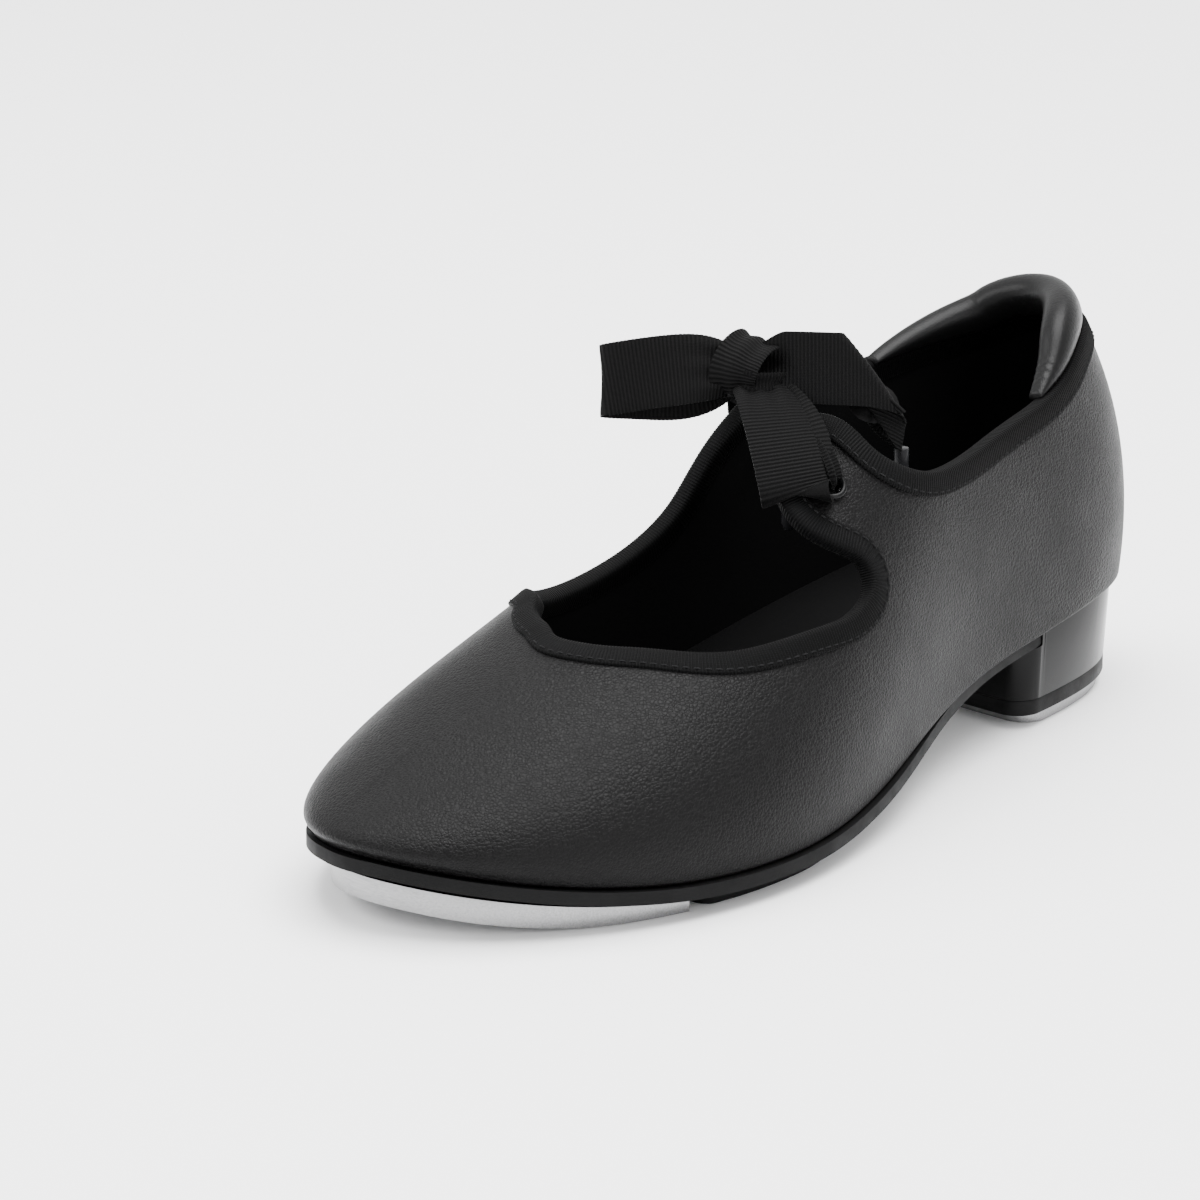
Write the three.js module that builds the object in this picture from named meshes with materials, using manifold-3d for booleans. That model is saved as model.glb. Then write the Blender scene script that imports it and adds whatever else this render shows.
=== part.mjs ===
// A Mary Jane tap shoe for the left foot: a moulded upper with a padded collar and a ribbon tie, on a
// rubber sole with a low heel and two aluminium taps.
// Millimetres, +Z up. The shoe is laid out with the toe at y = 0, the heel at y = SHOE_LENGTH and the
// outer side of the foot at +x. At the end it is moved so that the origin is under the middle of its box.
import * as THREE from 'three';
import { mergeVertices } from 'three/addons/utils/BufferGeometryUtils.js';
import Module from 'manifold-3d';

const wasm = await Module();
wasm.setup();

// ---------------------------------------------------------------- driving sizes
const SHOE_LENGTH = 250;
const SHOE_WIDTH = 95;
const GAP = 0.3;                 // between pieces that touch
const UPPER_THICKNESS = 1.2;
const STIFFENER_THICKNESS = 0.7;
const LINING_THICKNESS = 0.7;
const LASTING_MARGIN = 11;       // the upper's edge that is turned under the insole board
const BOARD_THICKNESS = 1.8;
const SOCK_THICKNESS = 2.2;
const SOCK_EASE = 1.6;           // play between the sock and the lining round it
const OUTSOLE_THICKNESS = 3.0;
const OUTSOLE_LEDGE = 1.0;       // how far the outsole stands out past the upper
const TAP_BOARD_THICKNESS = 1.2;
const TAP_INSET = 4.4;           // from the shoe's edge to the toe tap's edge
const TOE_TAP_END = 57;
const TAP_FLAT_START = 45;       // the toe tap is flat on the ground from here back
const TAP_TOE_SPRING = 7;        // how far the toe tap's front edge is off the ground
const GRIP_PAD_END = 108;
const GRIP_PAD_CLEARANCE = 0.4;  // from the grip pad's face to the ground
const HEEL_BREAST = 191;
const HEEL_TOP_INSET = 2;
const HEEL_FOOT_INSET = 3.2;
const HEEL_CORNER_RADIUS = 7;
const SOLE_TONGUE = 9;           // length of outsole that is caught between the upper and the heel
const HEEL_LIFT_THICKNESS = 3.4;
const HEEL_TAP_THICKNESS = 3.2;
const HEEL_TAP_INSET = 4.8;
const HEEL_TAP_SETBACK = 5;      // from the lift's front to the heel tap's front
const SCREW_SHANK_RADIUS = 1.3;
const SCREW_HEAD_RADIUS = 2.9;
const SCREW_HEAD_HEIGHT = 1.5;
const NAIL_RADIUS = 0.9;
const NAIL_HEAD_RADIUS = 2.4;
const NAIL_LENGTH = 15;
const RIVET_HEAD_RADIUS = 1.6;
const SHANK_WIDTH = 13;
const SHANK_THICKNESS = 0.9;
const SHANK_START = 122;
const SHANK_END = 206;
const FILLER_END = 116;
const BINDING_WIDTH = 4.7;
const BINDING_THICKNESS = 0.7;
const COLLAR_HEIGHT = 10.5;
const COLLAR_THICKNESS = 8.6;
const COLLAR_SET_IN = 2.7;       // from the leather's face in to the collar's middle
const EYELET_HOLE_RADIUS = 2;
const EYELET_BARREL_RADIUS = 2.4;
const EYELET_FLANGE_RADIUS = 3.5;
const EYELET_FLANGE_THICKNESS = 0.7;
const RIBBON_WIDTH = 16;
const RIBBON_THICKNESS = 1.4;
const AGLET_LENGTH = 16;
const AGLET_RADIUS = 1.7;

// stretches of the upper, counted in rows up from the feather line
const PUFF_ROWS = 4;
const COUNTER_ROWS = 4;
const PUFF_END = 0.13;           // shares of the way round the feather line
const COUNTER_START = 0.35;
const LINING_SEAM = 0.3;         // where the vamp lining meets the quarter lining
const SEAM_GAP = 0.05;
const COLLAR_OUTER_END = 0.395;
const COLLAR_INNER_END = 0.352;

// ---------------------------------------------------------------- curves
const spline = (f) => [(1 - f) ** 3 / 6, (3 * f ** 3 - 6 * f ** 2 + 4) / 6,
  (-3 * f ** 3 + 3 * f ** 2 + 3 * f + 1) / 6, f ** 3 / 6];

// a smooth curve through evenly spaced values, s from 0 to 1
function curve(values, s) {
  const n = values.length - 1;
  const u = Math.min(Math.max(s, 0), 1) * n;
  const i = Math.min(Math.floor(u), n - 1);
  const at = (k) => (k < 0 ? 2 * values[0] - values[1] : k > n ? 2 * values[n] - values[n - 1] : values[k]);
  return spline(u - i).reduce((sum, w, k) => sum + w * at(i + k - 1), 0);
}

// a smooth closed curve, t once round from 0 to 1
function closedCurve(points, t) {
  const n = points.length;
  const u = (t - Math.floor(t)) * n;
  const i = Math.floor(u);
  const w = spline(u - i);
  return [0, 1].map((c) => w.reduce((sum, wk, k) => sum + wk * points[(i + k - 1 + n) % n][c], 0));
}

// a smooth open curve between control points
function openCurve(points, s) {
  return points[0].map((_, c) => curve(points.map((p) => p[c]), s));
}

const lerp = (a, b, s) => a + (b - a) * s;
const stretch = (from, to, count) => Array.from({ length: count + 1 }, (_, i) => lerp(from, to, i / count));
const smooth = (a, b, v) => {
  const s = Math.min(Math.max((v - a) / (b - a), 0), 1);
  return s * s * (3 - 2 * s);
};

// ---------------------------------------------------------------- the last: the shape the shoe is made on
// control points of the feather line, as shares of the shoe's width and length, outer side first
const FOOTPRINT = [[-0.117, -0.005], [0.074, 0.006], [0.259, 0.045], [0.42, 0.125], [0.548, 0.235],
  [0.586, 0.36], [0.504, 0.5], [0.395, 0.62], [0.336, 0.74], [0.324, 0.85], [0.27, 0.955],
  [0.106, 1.012], [-0.093, 1.012], [-0.265, 0.955], [-0.321, 0.85], [-0.322, 0.74], [-0.332, 0.62],
  [-0.382, 0.49], [-0.464, 0.365], [-0.479, 0.25], [-0.439, 0.14], [-0.311, 0.05]];
// heights above the ground from toe to heel: the feather line and the top of the instep
const FEATHER = [18.5, 12.5, 9, 8.5, 9, 13, 19, 23, 25, 28, 27.6];
const RIDGE = [30, 38.5, 47.5, 56, 69, 90, 111, 126, 132, 134, 134];
const RIDGE_SIDESTEP = [-4, -3, -1, 1, 2, 2, 1.5, 1, 0.5, 0, 0];
const WALL_POWER = [0.75, 0.8, 0.85, 0.9, 0.95, 1, 1, 1, 1, 1, 1];
const WALL_BULGE = [0.1, 0.08, 0.06, 0.06, 0.06, 0.06, 0.08, 0.1, 0.12, 0.12, 0.12];
const DOME_START = 86;           // the toe's dome is drawn round this point of the ridge
const DOME_END = 222;
const DOME_BLEND = 18;
const HEEL_WALL_HEIGHT = 64;
const HEEL_BULGE = 6;
const HEEL_LEAN = 16.5;
const HEEL_NARROWING = 0.1;

const rawPrint = Array.from({ length: 720 }, (_, i) => closedCurve(FOOTPRINT, i / 720));
const printLow = [0, 1].map((c) => Math.min(...rawPrint.map((p) => p[c])));
const printHigh = [0, 1].map((c) => Math.max(...rawPrint.map((p) => p[c])));

function footprint(t) {
  const p = closedCurve(FOOTPRINT, t);
  return [p[0] / (printHigh[0] - printLow[0]) * SHOE_WIDTH,
    (p[1] - printLow[1]) / (printHigh[1] - printLow[1]) * SHOE_LENGTH];
}
const feather = (y) => curve(FEATHER, y / SHOE_LENGTH);

// the upper's outer face: t goes round the shoe, rise from 0 at the feather line to PI / 2 at the ridge
function last(t, rise) {
  const [bx, by] = footprint(t);
  const share = by / SHOE_LENGTH;
  const knee = (v) => 0.5 * (v + Math.hypot(v, DOME_BLEND));
  const cy = DOME_START + knee(by - DOME_START) - knee(by - DOME_END);
  const cx = curve(RIDGE_SIDESTEP, cy / SHOE_LENGTH);
  const spread = Math.cos(rise) ** curve(WALL_POWER, share) * (1 + curve(WALL_BULGE, share) * Math.sin(2 * rise));
  let x = cx + (bx - cx) * spread;
  let y = cy + (by - cy) * spread;
  const z = lerp(feather(by), curve(RIDGE, y / SHOE_LENGTH), Math.sin(rise));
  const climb = (z - feather(by)) / HEEL_WALL_HEIGHT;
  const atHeel = smooth(150, 240, by);
  y += atHeel * (HEEL_BULGE - HEEL_LEAN * climb) * climb;
  x -= (x - cx) * atHeel * HEEL_NARROWING * climb * climb;
  return new THREE.Vector3(x, y, z);
}

function lastNormal(t, rise) {
  const step = 0.002;
  const low = Math.min(Math.max(rise, step), Math.PI / 2 - 2 * step);
  const along = last(t + step, low).sub(last(t - step, low));
  const up = last(t, low + step).sub(last(t, low - step));
  return along.cross(up).normalize();
}
const skin = (t, rise, offset) => last(t, rise).addScaledVector(lastNormal(t, rise), offset);

// the rise at which the last stands a given height above the feather line
function riseAtHeight(t, height) {
  let low = 0;
  let high = 1.2;
  const floor = feather(footprint(t)[1]);
  for (let i = 0; i < 24; i += 1) {
    const mid = (low + high) / 2;
    if (last(t, mid).z - floor < height) low = mid;
    else high = mid;
  }
  return low;
}

// ---------------------------------------------------------------- the topline: the edge of the opening
// The leather runs in threads from the feather line up to the topline. Each point of the topline is
// [t, degrees up the last, t of its thread's foot, t that the thread bends towards]; two numbers stand for
// a thread that goes straight up.
const OUTER_EDGE = [[0.003, 79.7], [0.05, 78.8], [0.1, 76.3], [0.151, 70.2], [0.185, 62], [0.209, 54],
  [0.232, 46.3], [0.249, 39.8, 0.246, 0.248], [0.262, 35.2, 0.256, 0.258], [0.2735, 34.8, 0.265, 0.269],
  [0.273, 41.5, 0.275, 0.289], [0.265, 50, 0.281, 0.294], [0.259, 60, 0.2845, 0.294], [0.26, 69, 0.287, 0.293],
  [0.268, 74, 0.2895, 0.293], [0.28, 72, 0.292, 0.294], [0.288, 62, 0.295, 0.296], [0.2915, 54, 0.2985, 0.299],
  [0.298, 46.5, 0.303, 0.303], [0.31, 39, 0.312, 0.312], [0.325, 34], [0.343, 31.2], [0.362, 30.2],
  [0.383, 29.9], [0.405, 30.2], [0.428, 32], [0.452, 34.5]];
const HEEL_EDGE = [0.5, 36];
const INNER_EDGE = [[0.452, 34.5], [0.428, 32], [0.405, 30.6], [0.383, 30], [0.362, 29.9], [0.345, 30.3],
  [0.329, 31.4], [0.313, 33.6, 0.314, 0.314], [0.3, 36, 0.304, 0.303], [0.288, 38.2, 0.295, 0.294],
  [0.277, 39, 0.286, 0.284], [0.267, 38.4, 0.277, 0.276], [0.259, 36.6, 0.268, 0.268],
  [0.2525, 33.2, 0.26, 0.262], [0.2465, 30.4, 0.252, 0.254], [0.238, 29.2, 0.243, 0.245],
  [0.226, 29.6, 0.23, 0.231], [0.211, 31.8, 0.213, 0.213], [0.195, 36], [0.18, 42.6], [0.167, 51],
  [0.151, 60.2], [0.13, 68.2], [0.105, 72.4], [0.075, 76], [0.036, 79.1]];
const RAD = Math.PI / 180;
const edgePoint = ([t, up, foot = t, bend = t]) => [t, up * RAD, foot, bend];
const EDGE = [...OUTER_EDGE.map(edgePoint), edgePoint(HEEL_EDGE),
  ...INNER_EDGE.map(edgePoint).map(([t, rise, foot, bend]) => [1 - t, rise, 1 - foot, 1 - bend])];

// a value of the edge, counted past one lap
function lapped(list, index, column) {
  const lap = Math.floor(index / list.length);
  return list[index - lap * list.length][column] + (column === 1 ? 0 : lap);
}
// spline controls whose curve passes through the edge's points
const SHARPENING_PASSES = 24;
let edgeControls = EDGE;
for (let pass = 0; pass < SHARPENING_PASSES; pass += 1) {
  const now = edgeControls;
  edgeControls = now.map((point, i) => point.map((value, c) => value + EDGE[i][c]
    - (lapped(now, i - 1, c) + 4 * value + lapped(now, i + 1, c)) / 6));
}

// the topline at u, once round: [t, rise, foot, bend]
function toplineAt(u) {
  const place = u * EDGE.length;
  const i = Math.floor(place);
  return [0, 1, 2, 3].map((c) => spline(place - i).reduce((sum, w, k) => (
    sum + w * lapped(edgeControls, i + k - 1, c)), 0));
}
// where the topline passes a place t, near the heel
function toplineU(t) {
  let low = 0.4;
  let high = 0.66;
  for (let i = 0; i < 30; i += 1) {
    const mid = (low + high) / 2;
    if (toplineAt(mid)[0] < t) low = mid;
    else high = mid;
  }
  return low;
}

// a thread of the upper runs from its foot (s = 0) to the topline (s = 1)
const THREAD_BEND = 0.75;
function thread(u, s) {
  const [t, rise, foot, bend] = toplineAt(u);
  const b = 2 * s * (1 - s);
  return [foot * (1 - s) ** 2 + bend * b + t * s * s, rise * (THREAD_BEND * b + s * s)];
}

// the rows of a thread as [t, rise]: its foot, the top of the insole board, then evenly up to the topline
const UPPER_ROWS = 7;
const FOOT_STEP = 0.02;          // most that neighbouring threads stand apart at the feather line
const THREADS = EDGE.flatMap((point, i) => {
  const apart = lapped(EDGE, i + 1, 2) - point[2];
  const steps = Math.max(2, Math.ceil(apart / FOOT_STEP));
  return Array.from({ length: steps }, (_, k) => (i + k / steps) / EDGE.length);
});
const threadPlace = (n) => {
  const lap = Math.floor(n / THREADS.length);
  return THREADS[n - lap * THREADS.length] + lap;
};
function threadRows(u) {
  const boardRise = riseAtHeight(thread(u, 0)[0], 2 * GAP + BOARD_THICKNESS);
  let start = 0;
  while (thread(u, start)[1] < boardRise) start += 0.002;
  const rows = Array.from({ length: UPPER_ROWS }, (_, k) => thread(u, lerp(start, 1, k / (UPPER_ROWS - 1))));
  return [thread(u, 0), ...rows];
}

// ---------------------------------------------------------------- mesh helpers
function closeMesh(vertices, triangles) {
  let volume = 0;
  for (const [a, b, c] of triangles) {
    volume += vertices[a].dot(new THREE.Vector3().crossVectors(vertices[b], vertices[c]));
  }
  const order = volume < 0 ? triangles.map(([a, b, c]) => [a, c, b]) : triangles;
  const geometry = new THREE.BufferGeometry();
  geometry.setAttribute('position', new THREE.Float32BufferAttribute(vertices.flatMap((v) => v.toArray()), 3));
  geometry.setIndex(order.flat());
  return geometry;
}

// joins sections of paired points: point k lies opposite point (count - 1 - k), as on a strip
function loft(sections, ring) {
  const count = sections[0].length;
  const vertices = sections.flat();
  const triangles = [];
  const steps = ring ? sections.length : sections.length - 1;
  for (let i = 0; i < steps; i += 1) {
    const here = i * count;
    const next = ((i + 1) % sections.length) * count;
    for (let k = 0; k < count; k += 1) {
      const after = (k + 1) % count;
      triangles.push([here + k, here + after, next + after], [here + k, next + after, next + k]);
    }
  }
  if (!ring) {
    for (let k = 0; k < count / 2 - 1; k += 1) {
      const end = (sections.length - 1) * count;
      const [a, b, c, d] = [k, k + 1, count - 2 - k, count - 1 - k];
      triangles.push([a, c, b], [a, d, c], [end + a, end + b, end + c], [end + a, end + c, end + d]);
    }
  }
  return closeMesh(vertices, triangles);
}

function toSolid(geometry) {
  const bare = geometry.clone();
  for (const name of Object.keys(bare.attributes)) {
    if (name !== 'position') bare.deleteAttribute(name);
  }
  const merged = mergeVertices(bare, 1e-4);
  return new wasm.Manifold(new wasm.Mesh({
    numProp: 3,
    vertProperties: new Float32Array(merged.attributes.position.array),
    triVerts: new Uint32Array(merged.index.array),
  }));
}

function toGeometry(solid) {
  const mesh = solid.getMesh();
  const geometry = new THREE.BufferGeometry();
  geometry.setAttribute('position', new THREE.Float32BufferAttribute(mesh.vertProperties, 3));
  geometry.setIndex(Array.from(mesh.triVerts));
  return geometry;
}

const cut = (geometry, tools) => toGeometry(tools.reduce((solid, tool) => solid.subtract(toSolid(tool)),
  toSolid(geometry)));
const join = (geometries) => toGeometry(geometries.map(toSolid).reduce((a, b) => a.add(b)));

// a bar of revolution about an axis, from a profile of [radius, distance along the axis]
function turned(profile, centre, axis, segments = 20) {
  const geometry = new THREE.LatheGeometry(profile.map(([r, h]) => new THREE.Vector2(r, h)), segments);
  const turn = new THREE.Quaternion().setFromUnitVectors(new THREE.Vector3(0, 1, 0), axis.clone().normalize());
  geometry.applyQuaternion(turn);
  geometry.translate(centre.x, centre.y, centre.z);
  return toGeometry(toSolid(geometry));
}
const UP = new THREE.Vector3(0, 0, 1);
const rod = (x, y, z0, z1, radius, segments = 10) => turned([[0, 0], [radius, 0], [radius, z1 - z0], [0, z1 - z0]],
  new THREE.Vector3(x, y, z0), UP, segments);

// ---------------------------------------------------------------- plates that follow the footprint
const edgeTables = new Map();
function edgeTable(inset) {
  if (!edgeTables.has(inset)) {
    const sides = { outer: [], inner: [] };
    for (let i = 0; i <= 360; i += 1) {
      for (const side of ['outer', 'inner']) {
        const t = side === 'outer' ? i / 720 : 1 - i / 720;
        const [x, y] = footprint(t);
        const [x0, y0] = footprint(t - 0.001);
        const [x1, y1] = footprint(t + 0.001);
        const length = Math.hypot(x1 - x0, y1 - y0);
        sides[side].push([y + (x1 - x0) / length * inset, x - (y1 - y0) / length * inset]);
      }
    }
    edgeTables.set(inset, sides);
  }
  return edgeTables.get(inset);
}

function edgeX(y, side, inset) {
  const table = edgeTable(inset)[side];
  let i = 0;
  while (i < table.length - 2 && table[i + 1][0] < y) i += 1;
  const [ya, xa] = table[i];
  const [yb, xb] = table[i + 1];
  return lerp(xa, xb, Math.min(Math.max((y - ya) / (yb - ya), 0), 1));
}
const TIP = 0.15;
const toeTip = (inset) => edgeTable(inset).outer[0][0] + TIP;
const heelTip = (inset) => edgeTable(inset).outer[360][0] - TIP;

// one face of a plate: { from, to, inset, z, corner, fade } where z is a height as a function of y, corner
// rounds its front corners and fade brings its edge to another inset between two places
function face(sheet, s, c) {
  const y = lerp(sheet.from, sheet.to, s);
  const r = sheet.corner ?? 0;
  const near = Math.min(y - sheet.from, r);
  const bite = r - Math.sqrt(Math.max(r * r - (r - near) ** 2, 0));
  const fade = sheet.fade ? smooth(sheet.fade.from, sheet.fade.to, y) : 0;
  const edge = (side) => lerp(edgeX(y, side, sheet.inset), edgeX(y, side, sheet.fade?.inset ?? 0), fade);
  const x = lerp(edge('inner') + bite, edge('outer') - bite, c);
  return new THREE.Vector3(x, y, sheet.z(y));
}

function plate(top, bottom, rows = 26, columns = 4, extraRows = []) {
  const stations = Array.from({ length: rows + 1 }, (_, i) => 0.5 - 0.5 * Math.cos(Math.PI * i / rows));
  stations.push(...extraRows);
  stations.sort((a, b) => a - b);
  const sections = stations.map((s) => {
    const across = Array.from({ length: columns + 1 }, (_, i) => i / columns);
    return [...across.map((c) => face(top, s, c)), ...across.reverse().map((c) => face(bottom, s, c))];
  });
  return loft(sections, false);
}

// ---------------------------------------------------------------- materials
const leather = { color: 0x2b2b2d, roughness: 0.55, metalness: 0 };
const softLeather = { color: 0x333336, roughness: 0.4, metalness: 0 };
const textile = { color: 0x0c0c0d, roughness: 0.95, metalness: 0 };
const grosgrain = { color: 0x151516, roughness: 0.8, metalness: 0 };
const rubber = { color: 0x0d0d0e, roughness: 0.7, metalness: 0 };
const gloss = { color: 0x08080a, roughness: 0.18, metalness: 0 };
const fibre = { color: 0x3a2c20, roughness: 0.9, metalness: 0 };
const foam = { color: 0x4a4a4c, roughness: 0.95, metalness: 0 };
const aluminium = { color: 0xc9cacc, roughness: 0.35, metalness: 1 };
const steel = { color: 0x8d8f92, roughness: 0.4, metalness: 1 };
const enamel = { color: 0x0a0a0b, roughness: 0.25, metalness: 0.3 };
const plastic = { color: 0x101012, roughness: 0.3, metalness: 0 };

const shoe = new THREE.Group();
function add(name, geometry, look) {
  const mesh = new THREE.Mesh(geometry, new THREE.MeshStandardMaterial(look));
  mesh.name = name;
  shoe.add(mesh);
}

// ---------------------------------------------------------------- levels of the sole, from the feather line down
const marginBottom = (y) => feather(y) - UPPER_THICKNESS;
const outsoleTop = (y) => marginBottom(y) - GAP;
const outsoleBottom = (y) => outsoleTop(y) - OUTSOLE_THICKNESS;
const tapBoardTop = (y) => outsoleBottom(y) - GAP;
const tapBoardBottom = (y) => tapBoardTop(y) - TAP_BOARD_THICKNESS;
const toeTapTop = (y) => tapBoardBottom(y) - GAP;
const toeTapBottom = (y) => TAP_TOE_SPRING * (Math.max(TAP_FLAT_START - y, 0) / TAP_FLAT_START) ** 2;
const boardBottom = (y) => feather(y) + GAP;
const boardTop = (y) => boardBottom(y) + BOARD_THICKNESS;
const sockBottom = (y) => boardTop(y) + GAP;
const sockTop = (y) => sockBottom(y) + SOCK_THICKNESS;
const soleEnd = HEEL_BREAST + SOLE_TONGUE;

// ---------------------------------------------------------------- the upper and what backs it
const EYELETS = [{ name: 'outer', t: 0.2735, up: 57.5 }, { name: 'inner', t: 1 - 0.284, up: 31 }];
const eyeletPlace = ({ t, up }) => ({ centre: skin(t, up * RAD, 0), axis: lastNormal(t, up * RAD) });
const eyeletCutters = EYELETS.map((eyelet) => {
  const { centre, axis } = eyeletPlace(eyelet);
  const radius = EYELET_BARREL_RADIUS + GAP;
  return turned([[0, 0], [radius, 0], [radius, 14], [0, 14]], centre.clone().addScaledVector(axis, -8), axis);
});

function marginPoints(t, inset, z) {
  const [x0, y0] = footprint(t - 0.001);
  const [x1, y1] = footprint(t + 0.001);
  const [x, y] = footprint(t);
  const length = Math.hypot(x1 - x0, y1 - y0);
  const py = y + (x1 - x0) / length * inset;
  return new THREE.Vector3(x - (y1 - y0) / length * inset, py, z(py));
}

const upperSections = THREADS.map((u) => {
  const rows = threadRows(u);
  const foot = rows[0][0];
  return [
    marginPoints(foot, LASTING_MARGIN, marginBottom), marginPoints(foot, UPPER_THICKNESS / 2, marginBottom),
    ...rows.map(([t, rise]) => skin(t, rise, 0)),
    ...rows.reverse().map(([t, rise]) => skin(t, rise, -UPPER_THICKNESS)),
    marginPoints(foot, UPPER_THICKNESS * 1.2, feather), marginPoints(foot, LASTING_MARGIN, feather),
  ];
});
add('upper', cut(loft(upperSections, true), eyeletCutters), leather);

const stiffenerOuter = -UPPER_THICKNESS - GAP;
const stiffenerInner = stiffenerOuter - STIFFENER_THICKNESS;

// a shell over a stretch of threads and rows; its offsets from the upper's face may change from row to row
function shell(stations, firstRow, lastRow, outside, inside) {
  const sections = stations.map((u) => {
    const rows = threadRows(u).slice(firstRow, lastRow + 1).map((place, i) => [...place, firstRow + i]);
    return [...rows.map(([t, rise, row]) => skin(t, rise, outside(row))),
      ...rows.reverse().map(([t, rise, row]) => skin(t, rise, inside(row)))];
  });
  return loft(sections, false);
}
// the threads from one number to another, drawn back at both ends by a share of their spacing
function threads(from, to, back = 0) {
  const list = Array.from({ length: to - from + 1 }, (_, i) => threadPlace(from + i));
  list[0] += back * (list[1] - list[0]);
  list[list.length - 1] -= back * (list[1] - list[0]);
  return list;
}
// the number of the thread whose foot is nearest to a share of the way round
const threadAt = (t) => Math.round(THREADS.findIndex((u) => thread(u, 0)[0] >= t));
const always = (offset) => () => offset;
add('toe_puff', shell(threads(threadAt(1 - PUFF_END) - THREADS.length, threadAt(PUFF_END)), 1, PUFF_ROWS,
  always(stiffenerOuter), always(stiffenerInner)), fibre);
add('heel_counter', shell(threads(threadAt(COUNTER_START), threadAt(1 - COUNTER_START)), 1, COUNTER_ROWS,
  always(stiffenerOuter), always(stiffenerInner)), fibre);

// the linings lie on the stiffeners, come in to the upper towards the topline and meet at a seam on each side
const liningOuter = (row) => lerp(stiffenerInner, -UPPER_THICKNESS, smooth(PUFF_ROWS, UPPER_ROWS, row)) - GAP;
const liningInner = (row) => liningOuter(row) - LINING_THICKNESS;
const liningShell = (from, to) => cut(shell(threads(from, to, SEAM_GAP), 1, UPPER_ROWS, liningOuter, liningInner),
  eyeletCutters);
const outerSeam = threadAt(LINING_SEAM);
const innerSeam = threadAt(1 - LINING_SEAM);
add('vamp_lining', liningShell(innerSeam - THREADS.length, outerSeam), textile);
add('quarter_lining', liningShell(outerSeam, innerSeam), textile);

// ---------------------------------------------------------------- binding, collar and eyelets
// a place beside the topline: offset out from the upper's face, and up past its edge or down below it
function besideTopline(u, offset, up) {
  const edge = last(...thread(u, 1));
  if (up < 0) {
    let s = 1;
    while (edge.distanceTo(last(...thread(u, s))) < -up) s -= 0.004;
    return skin(...thread(u, s), offset);
  }
  const climb = edge.clone().sub(last(...thread(u, 0.96))).normalize();
  return edge.addScaledVector(lastNormal(...thread(u, 1)), offset).addScaledVector(climb, up);
}
const liningEdge = liningInner(UPPER_ROWS);
const bindingIn = liningEdge - 2 * GAP;
const bindingSections = THREADS.map((u) => {
  const outside = GAP + BINDING_THICKNESS;
  const legs = [[outside, -BINDING_WIDTH], [outside, GAP + BINDING_THICKNESS],
    [bindingIn - BINDING_THICKNESS, GAP + BINDING_THICKNESS], [bindingIn - BINDING_THICKNESS, -BINDING_WIDTH],
    [bindingIn, -BINDING_WIDTH], [bindingIn, GAP], [GAP, GAP], [GAP, -BINDING_WIDTH]];
  return legs.map(([offset, up]) => besideTopline(u, offset, up));
});
add('topline_binding', loft(bindingSections, true), grosgrain);

const collarFoot = 2 * GAP + BINDING_THICKNESS;
const collarSections = stretch(toplineU(COLLAR_OUTER_END), toplineU(1 - COLLAR_INNER_END), 32).map((u, i, all) => {
  const share = Math.min(1, Math.min(i, all.length - 1 - i) / 6);
  const taper = Math.sqrt(lerp(0.12, 1, share * (2 - share)));
  const centre = -COLLAR_SET_IN;
  const half = [COLLAR_THICKNESS / 2, COLLAR_HEIGHT / 2 * taper];
  return Array.from({ length: 10 }, (_, k) => {
    const angle = (k + 0.5) / 10 * 2 * Math.PI;
    return besideTopline(u, centre + half[0] * Math.cos(angle), collarFoot + half[1] * (1 + Math.sin(angle)));
  });
});
add('collar_pad', loft(collarSections, false), softLeather);

for (const eyelet of EYELETS) {
  const { centre, axis } = eyeletPlace(eyelet);
  const face0 = 2 * GAP;
  const back = liningInner(PUFF_ROWS) - GAP;
  const rim = EYELET_FLANGE_THICKNESS;
  const clinch = EYELET_FLANGE_RADIUS * 0.9;
  add(`eyelet_${eyelet.name}`, turned([
    [EYELET_HOLE_RADIUS, back - rim], [clinch, back - rim], [clinch, back], [EYELET_BARREL_RADIUS, back],
    [EYELET_BARREL_RADIUS, face0], [EYELET_FLANGE_RADIUS, face0], [EYELET_FLANGE_RADIUS, face0 + rim * 0.6],
    [EYELET_FLANGE_RADIUS - rim, face0 + rim], [EYELET_HOLE_RADIUS + rim * 0.4, face0 + rim],
    [EYELET_HOLE_RADIUS, face0 + rim * 0.5], [EYELET_HOLE_RADIUS, back - rim],
  ], centre, axis, 18), enamel);
}

// ---------------------------------------------------------------- ground plates, screws and nails
const toeScrews = [[-25, 36], [21, 36], [-5, 17]];
const heelScrews = [[-12, 212], [12, 212], [0, 232]];
const heelNails = [[-9, 206], [9, 206], [-9, 226], [9, 226]];
const shankRivets = [[0, SHANK_START + 8], [0, SHANK_END - 8]];

const insoleInset = UPPER_THICKNESS + 2 * GAP;
const boardHoles = [...heelNails, ...shankRivets].map(([x, y]) => (
  rod(x, y, boardBottom(y) - 2, boardTop(y) + 2, NAIL_RADIUS + GAP)));
add('insole_board', cut(plate(
  { from: toeTip(insoleInset), to: heelTip(insoleInset), inset: insoleInset, z: boardTop },
  { from: toeTip(insoleInset), to: heelTip(insoleInset), inset: insoleInset, z: boardBottom }), boardHoles), fibre);
const sockInset = GAP - liningInner(1) + SOCK_EASE;
const nailHeadHeight = 0.8;
add('sock_lining', plate(
  { from: toeTip(sockInset), to: heelTip(sockInset), inset: sockInset, z: (y) => sockTop(y) + nailHeadHeight },
  { from: toeTip(sockInset), to: heelTip(sockInset), inset: sockInset,
    z: (y) => sockBottom(y) + nailHeadHeight }), foam);

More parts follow.
